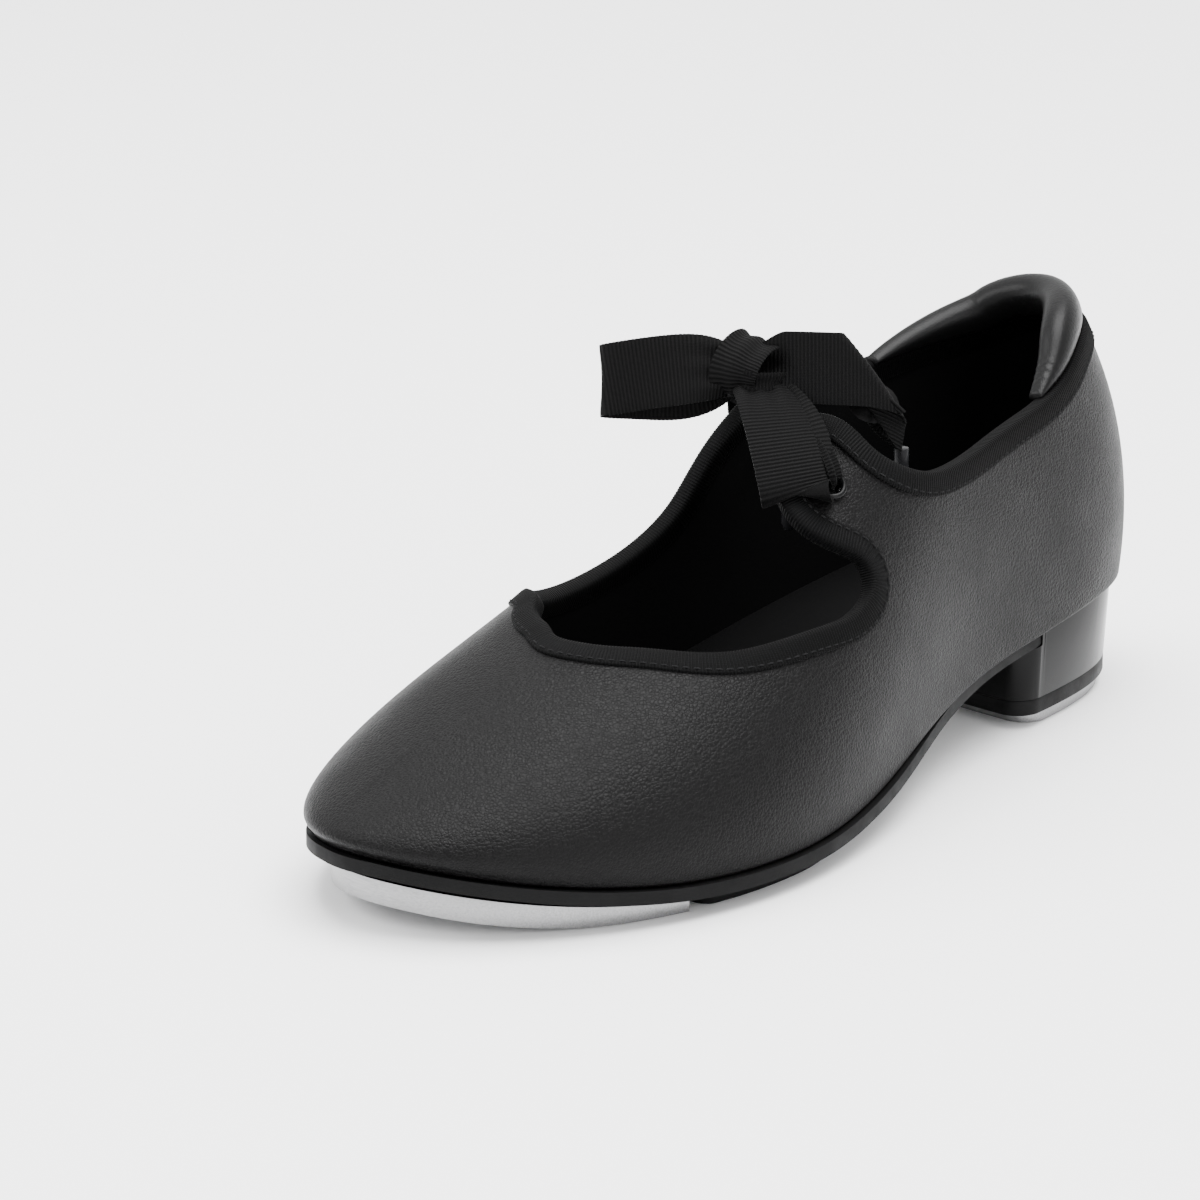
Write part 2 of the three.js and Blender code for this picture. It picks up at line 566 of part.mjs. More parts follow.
const fillerInset = LASTING_MARGIN + GAP;
const fillerTop = (y) => feather(y);
const fillerBottom = (y) => marginBottom(y) + GAP / 3;
add('sole_filler', plate(
  { from: toeTip(fillerInset), to: FILLER_END, inset: fillerInset, z: fillerTop },
  { from: toeTip(fillerInset), to: FILLER_END, inset: fillerInset, z: fillerBottom }, 14, 3), foam);

const shankSections = stretch(SHANK_START, SHANK_END, 14).map((y) => {
  const low = marginBottom(y) + GAP / 3;
  const half = SHANK_WIDTH / 2;
  return [[half, SHANK_THICKNESS], [0, SHANK_THICKNESS], [-half, SHANK_THICKNESS], [-half, 0], [0, 0], [half, 0]]
    .map(([x, h]) => new THREE.Vector3(x, y, low + h));
});
add('shank', cut(loft(shankSections, false), [...shankRivets, ...heelNails.slice(0, 2)].map(([x, y]) => (
  rod(x, y, marginBottom(y) - 3, feather(y) + 3, NAIL_RADIUS + GAP)))), steel);
shankRivets.forEach(([x, y], i) => {
  const low = marginBottom(y) - GAP / 3;
  const high = boardTop(y + RIVET_HEAD_RADIUS) + GAP / 2;
  add(`shank_rivet_${i + 1}`, turned([[0, low], [NAIL_RADIUS, low], [NAIL_RADIUS, high],
    [RIVET_HEAD_RADIUS, high], [RIVET_HEAD_RADIUS, high + nailHeadHeight / 3], [0, high + nailHeadHeight / 3]],
  new THREE.Vector3(x, y, 0), UP, 10), steel);
});

const ledgeFade = { from: 120, to: HEEL_BREAST, inset: HEEL_TOP_INSET + 1.5 };
const tapScrewHole = SCREW_SHANK_RADIUS + GAP;
const outsoleCuts = toeScrews.map(([x, y]) => (
  rod(x, y, outsoleBottom(y) - 4, outsoleTop(y) - 2 * GAP, tapScrewHole)));
add('outsole', cut(plate(
  { from: toeTip(-OUTSOLE_LEDGE), to: soleEnd, inset: -OUTSOLE_LEDGE, z: outsoleTop, fade: ledgeFade },
  { from: toeTip(-OUTSOLE_LEDGE), to: soleEnd, inset: -OUTSOLE_LEDGE, z: outsoleBottom, fade: ledgeFade }),
outsoleCuts), rubber);

const gripStart = TOE_TAP_END + 4;
add('sole_grip_pad', plate(
  { from: gripStart, to: GRIP_PAD_END, inset: TAP_INSET, z: (y) => outsoleBottom(y) - GAP },
  { from: gripStart, to: GRIP_PAD_END, inset: TAP_INSET,
    z: (y) => Math.max(GRIP_PAD_CLEARANCE, outsoleBottom(y) - 4.2) }, 14, 4), rubber);

const boardInset = TAP_INSET + 1.2;
add('toe_tap_board', cut(plate(
  { from: toeTip(boardInset), to: TOE_TAP_END - 1, inset: boardInset, z: tapBoardTop },
  { from: toeTip(boardInset), to: TOE_TAP_END - 1, inset: boardInset, z: tapBoardBottom }, 18, 4),
toeScrews.map(([x, y]) => rod(x, y, tapBoardBottom(y) - 4, tapBoardTop(y) + 4, tapScrewHole))), fibre);

// a countersunk screw driven upwards, its head's face at z = head
function screw(x, y, head, tip) {
  return turned([[0, head], [SCREW_HEAD_RADIUS, head], [SCREW_SHANK_RADIUS, head + SCREW_HEAD_HEIGHT],
    [SCREW_SHANK_RADIUS, tip - 2], [0.3, tip], [0, tip]], new THREE.Vector3(x, y, 0), UP, 14);
}
function countersink(x, y, head) {
  const wide = SCREW_HEAD_RADIUS + GAP;
  return turned([[0, head - 6], [wide, head - 6], [wide, head], [tapScrewHole, head + SCREW_HEAD_HEIGHT],
    [tapScrewHole, head + 12], [0, head + 12]], new THREE.Vector3(x, y, 0), UP, 14);
}
const SCREW_SINK = 0.3;
const toeScrewHead = (y) => toeTapBottom(y) + SCREW_SINK + (y < TAP_FLAT_START ? 0.5 : 0);
add('toe_tap', cut(plate(
  { from: toeTip(TAP_INSET), to: TOE_TAP_END, inset: TAP_INSET, z: toeTapTop },
  { from: toeTip(TAP_INSET), to: TOE_TAP_END, inset: TAP_INSET, z: toeTapBottom }, 20, 5,
  [0.78]), toeScrews.map(([x, y]) => countersink(x, y, toeScrewHead(y)))), aluminium);
toeScrews.forEach(([x, y], i) => {
  add(`toe_tap_screw_${i + 1}`, screw(x, y, toeScrewHead(y), outsoleTop(y) - 3 * GAP), steel);
});

const liftTop = HEEL_TAP_THICKNESS + GAP + HEEL_LIFT_THICKNESS;
const blockBottom = liftTop + GAP;
const heelBreast = (inset) => HEEL_BREAST + inset;
const blockFront = heelBreast(HEEL_TOP_INSET);
const stepShare = (soleEnd + GAP - blockFront) / (heelTip(HEEL_TOP_INSET) - blockFront);
const heelScrewTip = HEEL_TAP_THICKNESS + 14;
const heelCuts = [
  ...heelNails.map(([x, y]) => rod(x, y, outsoleTop(y) - NAIL_LENGTH, outsoleTop(y) + 6, NAIL_RADIUS + GAP)),
  ...heelScrews.map(([x, y]) => rod(x, y, 0, heelScrewTip + GAP, tapScrewHole)),
];
const blockTop = (y) => (y < soleEnd + GAP ? outsoleBottom(y) - GAP : marginBottom(y) - GAP);
add('heel_block', cut(plate(
  { from: blockFront, to: heelTip(HEEL_TOP_INSET), inset: HEEL_TOP_INSET, z: blockTop,
    corner: HEEL_CORNER_RADIUS },
  { from: heelBreast(HEEL_FOOT_INSET), to: heelTip(HEEL_FOOT_INSET), inset: HEEL_FOOT_INSET,
    z: () => blockBottom, corner: HEEL_CORNER_RADIUS }, 22, 4, [stepShare - 0.0005, stepShare + 0.0005]),
heelCuts), gloss);
const heelLayer = (inset, front, low, high, holes) => cut(plate(
  { from: front, to: heelTip(inset), inset, z: () => high, corner: HEEL_CORNER_RADIUS },
  { from: front, to: heelTip(inset), inset, z: () => low, corner: HEEL_CORNER_RADIUS }, 18, 1), holes);
const liftFront = heelBreast(HEEL_FOOT_INSET);
add('heel_top_lift', heelLayer(HEEL_FOOT_INSET, liftFront, HEEL_TAP_THICKNESS + GAP, liftTop,
  heelScrews.map(([x, y]) => rod(x, y, 0, blockBottom + 1, tapScrewHole))), rubber);
add('heel_tap', heelLayer(HEEL_TAP_INSET, liftFront + HEEL_TAP_SETBACK, 0, HEEL_TAP_THICKNESS,
  heelScrews.map(([x, y]) => countersink(x, y, SCREW_SINK))), aluminium);
heelScrews.forEach(([x, y], i) => add(`heel_tap_screw_${i + 1}`, screw(x, y, SCREW_SINK, heelScrewTip), steel));
heelNails.forEach(([x, y], i) => {
  const head = boardTop(y) + GAP;
  const tip = outsoleTop(y) - NAIL_LENGTH + GAP;
  add(`heel_nail_${i + 1}`, turned([[0, tip], [0.2, tip], [NAIL_RADIUS, tip + 2], [NAIL_RADIUS, head],
    [NAIL_HEAD_RADIUS, head], [NAIL_HEAD_RADIUS, head + nailHeadHeight / 2], [0, head + nailHeadHeight / 2]],
  new THREE.Vector3(x, y, 0), UP, 10), steel);
});

// ---------------------------------------------------------------- the ribbon, tied in a bow over the instep
// a flat strip along a route of [x, y, z, width], its width across the route and its face to one side
const LOOK_AHEAD = 0.02;
function ribbonStrip(route, facing, steps, thickness = RIBBON_THICKNESS) {
  const sections = stretch(0, 1, steps).map((s) => {
    const [x, y, z, width] = openCurve(route, s);
    const ahead = new THREE.Vector3(...openCurve(route, Math.min(s + LOOK_AHEAD, 1)))
      .sub(new THREE.Vector3(...openCurve(route, Math.max(s - LOOK_AHEAD, 0)))).normalize();
    const across = new THREE.Vector3().crossVectors(ahead, facing).normalize();
    const out = new THREE.Vector3().crossVectors(across, ahead).normalize();
    const place = new THREE.Vector3(x, y, z);
    return [[-1, -1], [1, -1], [1, 1], [-1, 1]].map(([a, b]) => place.clone()
      .addScaledVector(across, a * width / 2).addScaledVector(out, b * thickness / 2));
  });
  return loft(sections, false);
}
// the knot stands over the instep, placed from the outer eyelet; the bow's own points are measured from it
const KNOT_FROM_EYELET = new THREE.Vector3(-26.9, 1.4, 21.4);
const KNOT_RADIUS = 7;
const KNOT_SHAPE = [1, 0.85, 1.05];
const GATHERED = 9;              // width of the ribbon where the knot gathers it
const TIP_WIDTH = 2.6;           // and where an aglet does
const NECK_WIDTH = 2.2;          // and inside an eyelet
const STRAP_WIDTH = 7;
const STRAP_STAND_OFF = 6.5;     // from the leather's face to the strap before it goes through an eyelet
const STRAP_ARCHES = { outer: new THREE.Vector3(0, -4, 6), inner: new THREE.Vector3(-7, 2, 8) };
const BOW_FACING = new THREE.Vector3(0.63, -0.71, 0.32).normalize();
const TAIL_ENDS = [[22, 29, -20], [-6, 23, -28]];
const KNOT = eyeletPlace(EYELETS[0]).centre.add(KNOT_FROM_EYELET);
const fromKnot = (x, y, z, width = RIBBON_WIDTH) => [KNOT.x + x, KNOT.y + y, KNOT.z + z, width];
const DOUBLED = RIBBON_THICKNESS * 2;
const bow = [
  // the loop towards the inner side
  ribbonStrip([fromKnot(0, 0, 0, GATHERED), fromKnot(-12, -3, 1), fromKnot(-24, -6, -3), fromKnot(-34, -9, -8)],
    BOW_FACING, 10, DOUBLED),
  // the loop that hangs down in front
  ribbonStrip([fromKnot(2, -3, 0, GATHERED), fromKnot(9, -7, -3), fromKnot(17.6, -10, -11.6),
    fromKnot(24.5, -11.3, -21.3)], BOW_FACING, 10, DOUBLED),
  // the tail towards the outer side, that drops behind the outer tab
  ribbonStrip([fromKnot(0, 0, 0, GATHERED), fromKnot(12, 10, 2), fromKnot(21, 20, -1), fromKnot(22, 27, -10, 8),
    fromKnot(...TAIL_ENDS[0], TIP_WIDTH)], BOW_FACING, 12),
  // the tail that drops inside the shoe
  ribbonStrip([fromKnot(0, 2, 0, GATHERED), fromKnot(-3, 12, -4), fromKnot(-5, 20, -16, 12),
    fromKnot(...TAIL_ENDS[1], TIP_WIDTH)], BOW_FACING, 10),
];
const knotBall = new THREE.SphereGeometry(KNOT_RADIUS, 12, 8);
knotBall.scale(...KNOT_SHAPE);
knotBall.translate(KNOT.x, KNOT.y, KNOT.z);
bow.push(knotBall);
EYELETS.forEach((eyelet) => {
  const { centre, axis } = eyeletPlace(eyelet);
  const along = (distance, width) => [...centre.clone().addScaledVector(axis, distance).toArray(), width];
  const out = centre.clone().addScaledVector(axis, STRAP_STAND_OFF);
  const over = out.lerp(KNOT, 0.5).add(STRAP_ARCHES[eyelet.name]);
  bow.push(ribbonStrip([fromKnot(0, 0, -2, GATHERED), [...over.toArray(), STRAP_WIDTH],
    along(STRAP_STAND_OFF, NECK_WIDTH),
    along(1, NECK_WIDTH), along(liningEdge - 3, NECK_WIDTH)], BOW_FACING, 14));
});
add('ribbon_tie', join(bow), grosgrain);

// stiff tips pressed on the ribbon's two ends
TAIL_ENDS.forEach(([x, y, z], i) => {
  const foot = new THREE.Vector3(KNOT.x + x, KNOT.y + y, KNOT.z + z - 2 * GAP - AGLET_LENGTH);
  add(`aglet_${i + 1}`, turned([[0, 0], [AGLET_RADIUS * 0.7, 0], [AGLET_RADIUS, 1], [AGLET_RADIUS, AGLET_LENGTH],
    [0, AGLET_LENGTH]], foot, UP, 12), plastic);
});

// ---------------------------------------------------------------- stand it over the origin
const box = new THREE.Box3().setFromObject(shoe);
const middle = box.getCenter(new THREE.Vector3());
shoe.position.set(-middle.x, -middle.y, -box.min.z);

export default shoe;
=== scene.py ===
# A tap shoe for the left foot, with a leather upper, a padded collar, a grosgrain tie and aluminium taps.
# Sizes below are in millimetres, laid out with the toe at y = 0, the heel at y = SHOE_LENGTH and the outer
# side of the foot at +x; seat() turns them into metres in the frame's own place.
import math

import bpy
import numpy as np
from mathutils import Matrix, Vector


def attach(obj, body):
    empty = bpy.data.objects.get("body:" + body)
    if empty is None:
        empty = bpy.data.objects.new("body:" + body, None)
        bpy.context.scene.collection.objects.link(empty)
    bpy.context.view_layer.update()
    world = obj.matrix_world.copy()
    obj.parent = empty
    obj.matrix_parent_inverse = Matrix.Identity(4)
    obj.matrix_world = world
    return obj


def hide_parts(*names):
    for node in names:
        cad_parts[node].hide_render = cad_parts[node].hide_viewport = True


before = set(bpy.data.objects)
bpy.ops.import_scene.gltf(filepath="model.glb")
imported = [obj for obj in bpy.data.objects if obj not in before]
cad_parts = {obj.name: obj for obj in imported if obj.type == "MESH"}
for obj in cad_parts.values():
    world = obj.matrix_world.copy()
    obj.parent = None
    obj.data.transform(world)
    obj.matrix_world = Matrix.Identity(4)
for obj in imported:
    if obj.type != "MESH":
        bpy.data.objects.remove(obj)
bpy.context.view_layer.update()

SEAT = np.array([-4.39, -124.51, 0.0])      # from the layout to the frame


def seat(points):
    return (np.asarray(points, float) + SEAT) / 1000


# ---------------------------------------------------------------- camera
LOOK_AT = Vector((-0.0229, -0.0270, 0.0469))
CAMERA_AZIMUTH = math.radians(41.9)
CAMERA_ELEVATION = math.radians(18.55)
CAMERA_DISTANCE = 1.4
LENS = 186.9


def add_camera():
    data = bpy.data.cameras.new("camera")
    data.lens = LENS
    data.sensor_width = 36
    data.clip_start = 0.05
    data.clip_end = 20
    camera = bpy.data.objects.new("camera", data)
    out = Vector((math.sin(CAMERA_AZIMUTH) * math.cos(CAMERA_ELEVATION),
                  -math.cos(CAMERA_AZIMUTH) * math.cos(CAMERA_ELEVATION), math.sin(CAMERA_ELEVATION)))
    camera.location = LOOK_AT + out * CAMERA_DISTANCE
    camera.rotation_euler = out.to_track_quat("Z", "Y").to_euler()
    bpy.context.collection.objects.link(camera)
    bpy.context.scene.camera = camera


add_camera()

# ---------------------------------------------------------------- sizes shared with the frame
SHOE_LENGTH = 250
SHOE_WIDTH = 95
GAP = 0.3
UPPER_THICKNESS = 1.2
LINING_INSIDE = 2.4              # from the leather's face to the lining's inner face, more low down
BOARD_THICKNESS = 1.8
SOCK_THICKNESS = 2.2
OUTSOLE_THICKNESS = 3.0
OUTSOLE_LEDGE = 1.0
TAP_BOARD_THICKNESS = 1.2
TAP_INSET = 4.4
TOE_TAP_END = 57
TAP_FLAT_START = 45
TAP_TOE_SPRING = 7
GRIP_PAD_END = 108
GRIP_PAD_CLEARANCE = 0.4
HEEL_BREAST = 191
HEEL_TOP_INSET = 2
HEEL_FOOT_INSET = 3.2
HEEL_CORNER_RADIUS = 7
SOLE_TONGUE = 9
HEEL_LIFT_THICKNESS = 3.4
HEEL_TAP_THICKNESS = 3.2
HEEL_TAP_INSET = 4.8
HEEL_TAP_SETBACK = 5
BINDING_WIDTH = 4.7
COLLAR_HEIGHT = 10.5
COLLAR_THICKNESS = 8.6
COLLAR_SET_IN = 2.7
COLLAR_OUTER_END = 0.395
COLLAR_INNER_END = 0.352
RIBBON_WIDTH = 16
AGLET_LENGTH = 16
AGLET_RADIUS = 1.7

# ---------------------------------------------------------------- the last: the shape the shoe is made on
FOOTPRINT = np.array([
    [-0.117, -0.005], [0.074, 0.006], [0.259, 0.045], [0.42, 0.125], [0.548, 0.235],
    [0.586, 0.36], [0.504, 0.5], [0.395, 0.62], [0.336, 0.74], [0.324, 0.85], [0.27, 0.955],
    [0.106, 1.012], [-0.093, 1.012], [-0.265, 0.955], [-0.321, 0.85], [-0.322, 0.74], [-0.332, 0.62],
    [-0.382, 0.49], [-0.464, 0.365], [-0.479, 0.25], [-0.439, 0.14], [-0.311, 0.05]])
FEATHER = [18.5, 12.5, 9, 8.5, 9, 13, 19, 23, 25, 28, 27.6]
RIDGE = [30, 38.5, 47.5, 56, 69, 90, 111, 126, 132, 134, 134]
RIDGE_SIDESTEP = [-4, -3, -1, 1, 2, 2, 1.5, 1, 0.5, 0, 0]
WALL_POWER = [0.75, 0.8, 0.85, 0.9, 0.95, 1, 1, 1, 1, 1, 1]
WALL_BULGE = [0.1, 0.08, 0.06, 0.06, 0.06, 0.06, 0.08, 0.1, 0.12, 0.12, 0.12]
DOME_START = 86
DOME_END = 222
DOME_BLEND = 18
HEEL_WALL_HEIGHT = 64
HEEL_BULGE = 6
HEEL_LEAN = 16.5
HEEL_NARROWING = 0.1


def spline_weights(f):
    return [(1 - f) ** 3 / 6, (3 * f ** 3 - 6 * f ** 2 + 4) / 6,
            (-3 * f ** 3 + 3 * f ** 2 + 3 * f + 1) / 6, f ** 3 / 6]


def curve(values, s):
    """A smooth curve through evenly spaced values, s from 0 to 1."""
    v = np.asarray(values, float)
    v = np.concatenate([[2 * v[0] - v[1]], v, [2 * v[-1] - v[-2]]])
    n = len(values) - 1
    u = np.clip(np.asarray(s, float), 0, 1) * n
    i = np.minimum(u.astype(int), n - 1)
    w = spline_weights(u - i)
    return sum(w[k] * v[i + k] for k in range(4))


def closed_curve(points, t):
    n = len(points)
    t = np.asarray(t, float)
    u = (t - np.floor(t)) * n
    i = np.floor(u).astype(int) % n
    w = spline_weights(u - np.floor(u))
    return sum(w[k][..., None] * points[(i + k - 1) % n] for k in range(4))


def smooth(a, b, v):
    s = np.clip((np.asarray(v, float) - a) / (b - a), 0, 1)
    return s * s * (3 - 2 * s)


PRINT = closed_curve(FOOTPRINT, np.arange(720) / 720)
PRINT_LOW, PRINT_HIGH = PRINT.min(0), PRINT.max(0)


def footprint(t):
    p = closed_curve(FOOTPRINT, t)
    x = p[..., 0] / (PRINT_HIGH[0] - PRINT_LOW[0]) * SHOE_WIDTH
    y = (p[..., 1] - PRINT_LOW[1]) / (PRINT_HIGH[1] - PRINT_LOW[1]) * SHOE_LENGTH
    return np.stack([x, y], -1)


def inset_print(t, inset):
    """The footprint, moved in by a distance or by one for each of its points."""
    base = footprint(t)
    ahead = unit(footprint(t + 0.001) - footprint(t - 0.001))
    return np.stack([base[:, 0] - ahead[:, 1] * inset, base[:, 1] + ahead[:, 0] * inset], -1)


def feather(y):
    return curve(FEATHER, np.asarray(y, float) / SHOE_LENGTH)


def last(t, rise):
    """The upper's outer face: t goes round the shoe, rise from 0 at the feather line to pi / 2 at the ridge."""
    base = footprint(t)
    bx, by = base[..., 0], base[..., 1]
    share = by / SHOE_LENGTH

    def knee(v):
        return 0.5 * (v + np.hypot(v, DOME_BLEND))
    cy = DOME_START + knee(by - DOME_START) - knee(by - DOME_END)
    cx = curve(RIDGE_SIDESTEP, cy / SHOE_LENGTH)
    spread = np.cos(rise) ** curve(WALL_POWER, share) * (1 + curve(WALL_BULGE, share) * np.sin(2 * rise))
    x = cx + (bx - cx) * spread
    y = cy + (by - cy) * spread
    low = feather(by)
    z = low + (curve(RIDGE, y / SHOE_LENGTH) - low) * np.sin(rise)
    climb = (z - low) / HEEL_WALL_HEIGHT
    at_heel = smooth(150, 240, by)
    y = y + at_heel * (HEEL_BULGE - HEEL_LEAN * climb) * climb
    x = x - (x - cx) * at_heel * HEEL_NARROWING * climb * climb
    return np.stack([x, y, z], -1)


def unit(v):
    return v / np.maximum(np.linalg.norm(v, axis=-1, keepdims=True), 1e-12)


SLOPE_STEP = 0.002


def last_slopes(t, rise):
    """How the last runs on with t and with rise."""
    step = SLOPE_STEP
    low = np.clip(rise, step, math.pi / 2 - 2 * step)
    along = (last(t + step, low) - last(t - step, low)) / (2 * step)
    up = (last(t, low + step) - last(t, low - step)) / (2 * step)
    return along, up


def last_normal(t, rise):
    along, up = last_slopes(t, rise)
    return unit(np.cross(along, up))


def run_along(points):
    """How far along a row of points each of them lies."""
    return np.concatenate([[0], np.cumsum(np.linalg.norm(np.diff(points, axis=0), axis=1))])


def skin(t, rise, offset):
    return last(t, rise) + last_normal(t, rise) * offset


# ---------------------------------------------------------------- the topline: the edge of the opening
OUTER_EDGE = [
    [0.003, 79.7], [0.05, 78.8], [0.1, 76.3], [0.151, 70.2], [0.185, 62], [0.209, 54],
    [0.232, 46.3], [0.249, 39.8, 0.246], [0.262, 35.2, 0.256], [0.2735, 34.8, 0.265],
    [0.273, 41.5, 0.275], [0.265, 50, 0.281], [0.259, 60, 0.2845], [0.26, 69, 0.287],
    [0.268, 74, 0.2895], [0.28, 72, 0.292], [0.288, 62, 0.295], [0.2915, 54, 0.2985],
    [0.298, 46.5, 0.303], [0.31, 39, 0.312], [0.325, 34], [0.343, 31.2], [0.362, 30.2],
    [0.383, 29.9], [0.405, 30.2], [0.428, 32], [0.452, 34.5]]
HEEL_EDGE = [0.5, 36]
INNER_EDGE = [
    [0.452, 34.5], [0.428, 32], [0.405, 30.6], [0.383, 30], [0.362, 29.9], [0.345, 30.3],
    [0.329, 31.4], [0.313, 33.6, 0.314], [0.3, 36, 0.304], [0.288, 38.2, 0.295],
    [0.277, 39, 0.286], [0.267, 38.4, 0.277], [0.259, 36.6, 0.268],
    [0.2525, 33.2, 0.26], [0.2465, 30.4, 0.252], [0.238, 29.2, 0.243],
    [0.226, 29.6, 0.23], [0.211, 31.8, 0.213], [0.195, 36], [0.18, 42.6], [0.167, 51],
    [0.151, 60.2], [0.13, 68.2], [0.105, 72.4], [0.075, 76], [0.036, 79.1]]
SHARPENING_PASSES = 24


def topline_controls():
    """Spline controls, [t, rise, t of the thread's foot], of a curve that passes through the edge's points."""
    outer = [[p[0], math.radians(p[1]), p[2] if len(p) > 2 else p[0]] for p in OUTER_EDGE + [HEEL_EDGE]]
    inner = [[1 - p[0], math.radians(p[1]), 1 - (p[2] if len(p) > 2 else p[0])] for p in INNER_EDGE]
    edge = np.array(outer + inner)
    lap = np.array([1.0, 0.0, 1.0])
    now = edge.copy()
    for _ in range(SHARPENING_PASSES):
        before = np.vstack([now[-1] - lap, now[:-1]])
        after = np.vstack([now[1:], now[0] + lap])
        now = now + edge - (before + 4 * now + after) / 6
    return now


TOPLINE = topline_controls()


def topline(u):
    """[t, rise, foot] at u, once round from 0 to 1; t and foot run on past one lap."""
    n = len(TOPLINE)
    place = np.asarray(u, float) * n
    i = np.floor(place).astype(int)
    w = spline_weights(place - i)
    total = 0
    for k in range(4):
        j = i + k - 1
        laps = np.floor_divide(j, n)
        total = total + w[k][..., None] * (TOPLINE[j % n] + laps[..., None] * np.array([1.0, 0.0, 1.0]))
    return total


def topline_u(t):
    """Where the topline passes a place t, near the heel."""
    u = np.linspace(0.4, 0.66, 400)
    return float(np.interp(t, topline(u)[:, 0], u))


def even_stations(count, foot_share=0.5):
    """Places round the topline that are evenly spaced, partly by the topline and partly by its feet."""
    u = np.linspace(0, 1, 6001)
    edge = topline(u)
    rim = last(edge[:, 0], edge[:, 1])
    foot = last(edge[:, 2], np.zeros(len(u)))
    run = [run_along(p) for p in (rim, foot)]
    mixed = (1 - foot_share) * run[0] / run[0][-1] + foot_share * run[1] / run[1][-1]
    return np.interp(np.arange(count) / count, mixed, u)


# ---------------------------------------------------------------- the wall: a net from feather to topline
WALL_STATIONS = 560
WALL_ROWS = 46
NET_PASSES = 700
NET_PACE = 0.8
MM_PER_LAP = 620
MM_PER_RADIAN = 75


def wall_net():
    """(t, rise) at each station and row. Relaxing keeps the net's lines apart round the notch and the tab."""
    edge = topline(even_stations(WALL_STATIONS))
    s = np.linspace(0, 1, WALL_ROWS + 1)
    p = np.empty((WALL_STATIONS, WALL_ROWS + 1, 2))
    p[..., 0] = (edge[:, 2:3] * (1 - s) + edge[:, 0:1] * s) * MM_PER_LAP
    p[..., 1] = edge[:, 1:2] * s * MM_PER_RADIAN
    lap = np.array([MM_PER_LAP, 0.0])
    for _ in range(NET_PASSES):
        before = np.concatenate([p[-1:] - lap, p[:-1]])
        after = np.concatenate([p[1:], p[:1] + lap])
        a, b, c = before[:, 1:-1], after[:, 1:-1], p[:, 1:-1]
        d, e = p[:, :-2], p[:, 2:]
        along, up = (b - a) / 2, (e - d) / 2
        g11 = (along ** 2).sum(-1, keepdims=True)
        g22 = (up ** 2).sum(-1, keepdims=True)
        g12 = (along * up).sum(-1, keepdims=True)
        cross = (after[:, 2:] - after[:, :-2] - before[:, 2:] + before[:, :-2]) / 4
        target = (g22 * (a + b) + g11 * (d + e) - 2 * g12 * cross) / (2 * (g11 + g22))
        p[:, 1:-1] = c + NET_PACE * (target - c)
    return p[..., 0] / MM_PER_LAP, p[..., 1] / MM_PER_RADIAN


NET_T, NET_RISE = wall_net()

# ---------------------------------------------------------------- mesh helpers
def deselect_all():
    if bpy.context.object and bpy.context.object.mode != "OBJECT":
        bpy.ops.object.mode_set(mode="OBJECT")
    bpy.ops.object.select_all(action="DESELECT")


def make_active(piece):
    deselect_all()
    piece.select_set(True)
    bpy.context.view_layer.objects.active = piece


def mesh_piece(name, points, faces, uv=None):
    """A new piece from points in layout millimetres; uv is a list of one (u, v) for each point."""
    mesh = bpy.data.meshes.new(name)
    mesh.from_pydata(seat(points).tolist(), [], [list(map(int, f)) for f in faces])
    if uv is not None:
        layer = mesh.uv_layers.new(name="run")
        loops = np.zeros(len(mesh.loops), int)
        mesh.loops.foreach_get("vertex_index", loops)
        layer.data.foreach_set("uv", np.asarray(uv, float)[loops].ravel())
    piece = bpy.data.objects.new(name, mesh)
    bpy.context.collection.objects.link(piece)
    return piece


def grid_faces(rows, columns, ring_rows, ring_columns, start=0):
    """Quads of a net of rows x columns points, closed on itself where it is a ring."""
    faces = []
    for i in range(rows if ring_rows else rows - 1):
        for j in range(columns if ring_columns else columns - 1):
            a, b = i * columns, (i + 1) % rows * columns
            k = (j + 1) % columns
            faces.append([start + a + j, start + a + k, start + b + k, start + b + j])
    return faces


def face_out(piece):
    make_active(piece)
    bpy.ops.object.mode_set(mode="EDIT")
    bpy.ops.mesh.select_all(action="SELECT")
    bpy.ops.mesh.normals_make_consistent(inside=False)
    bpy.ops.object.mode_set(mode="OBJECT")


def finish_piece(piece, look, nodes, angle):
    """Faces, shading, look and frame calls; nodes are the solids that the piece replaces."""
    face_out(piece)
    make_active(piece)
    bpy.ops.object.shade_smooth_by_angle(angle=math.radians(angle))
    piece.data.materials.clear()
    piece.data.materials.append(look)
    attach(piece, "root")
    if nodes:
        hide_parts(*nodes)
    return piece


def tube_of(name, sections, ring, uv=None):
    """A solid through sections of as many points each; an open one is capped at its ends."""
    sections = np.asarray(sections, float)
    rows, columns = sections.shape[:2]
    faces = grid_faces(rows, columns, ring, True)
    if not ring:
        faces += [list(range(columns))[::-1], list(range((rows - 1) * columns, rows * columns))]
    return mesh_piece(name, sections.reshape(-1, 3), faces, uv)


# ---------------------------------------------------------------- looks
def new_group(name, inputs, outputs):
    group = bpy.data.node_groups.new(name, "ShaderNodeTree")
    for label, kind, value in inputs:
        socket = group.interface.new_socket(name=label, in_out="INPUT", socket_type=kind)
        if value is not None:
            socket.default_value = value
    for label, kind in outputs:
        group.interface.new_socket(name=label, in_out="OUTPUT", socket_type=kind)
    return group, group.nodes.new("NodeGroupInput"), group.nodes.new("NodeGroupOutput")


def add_node(tree, kind, **settings):
    node = tree.nodes.new(kind)
    for key, value in settings.items():
        if key in node.inputs:
            node.inputs[key].default_value = value
        else:
            setattr(node, key, value)
    return node


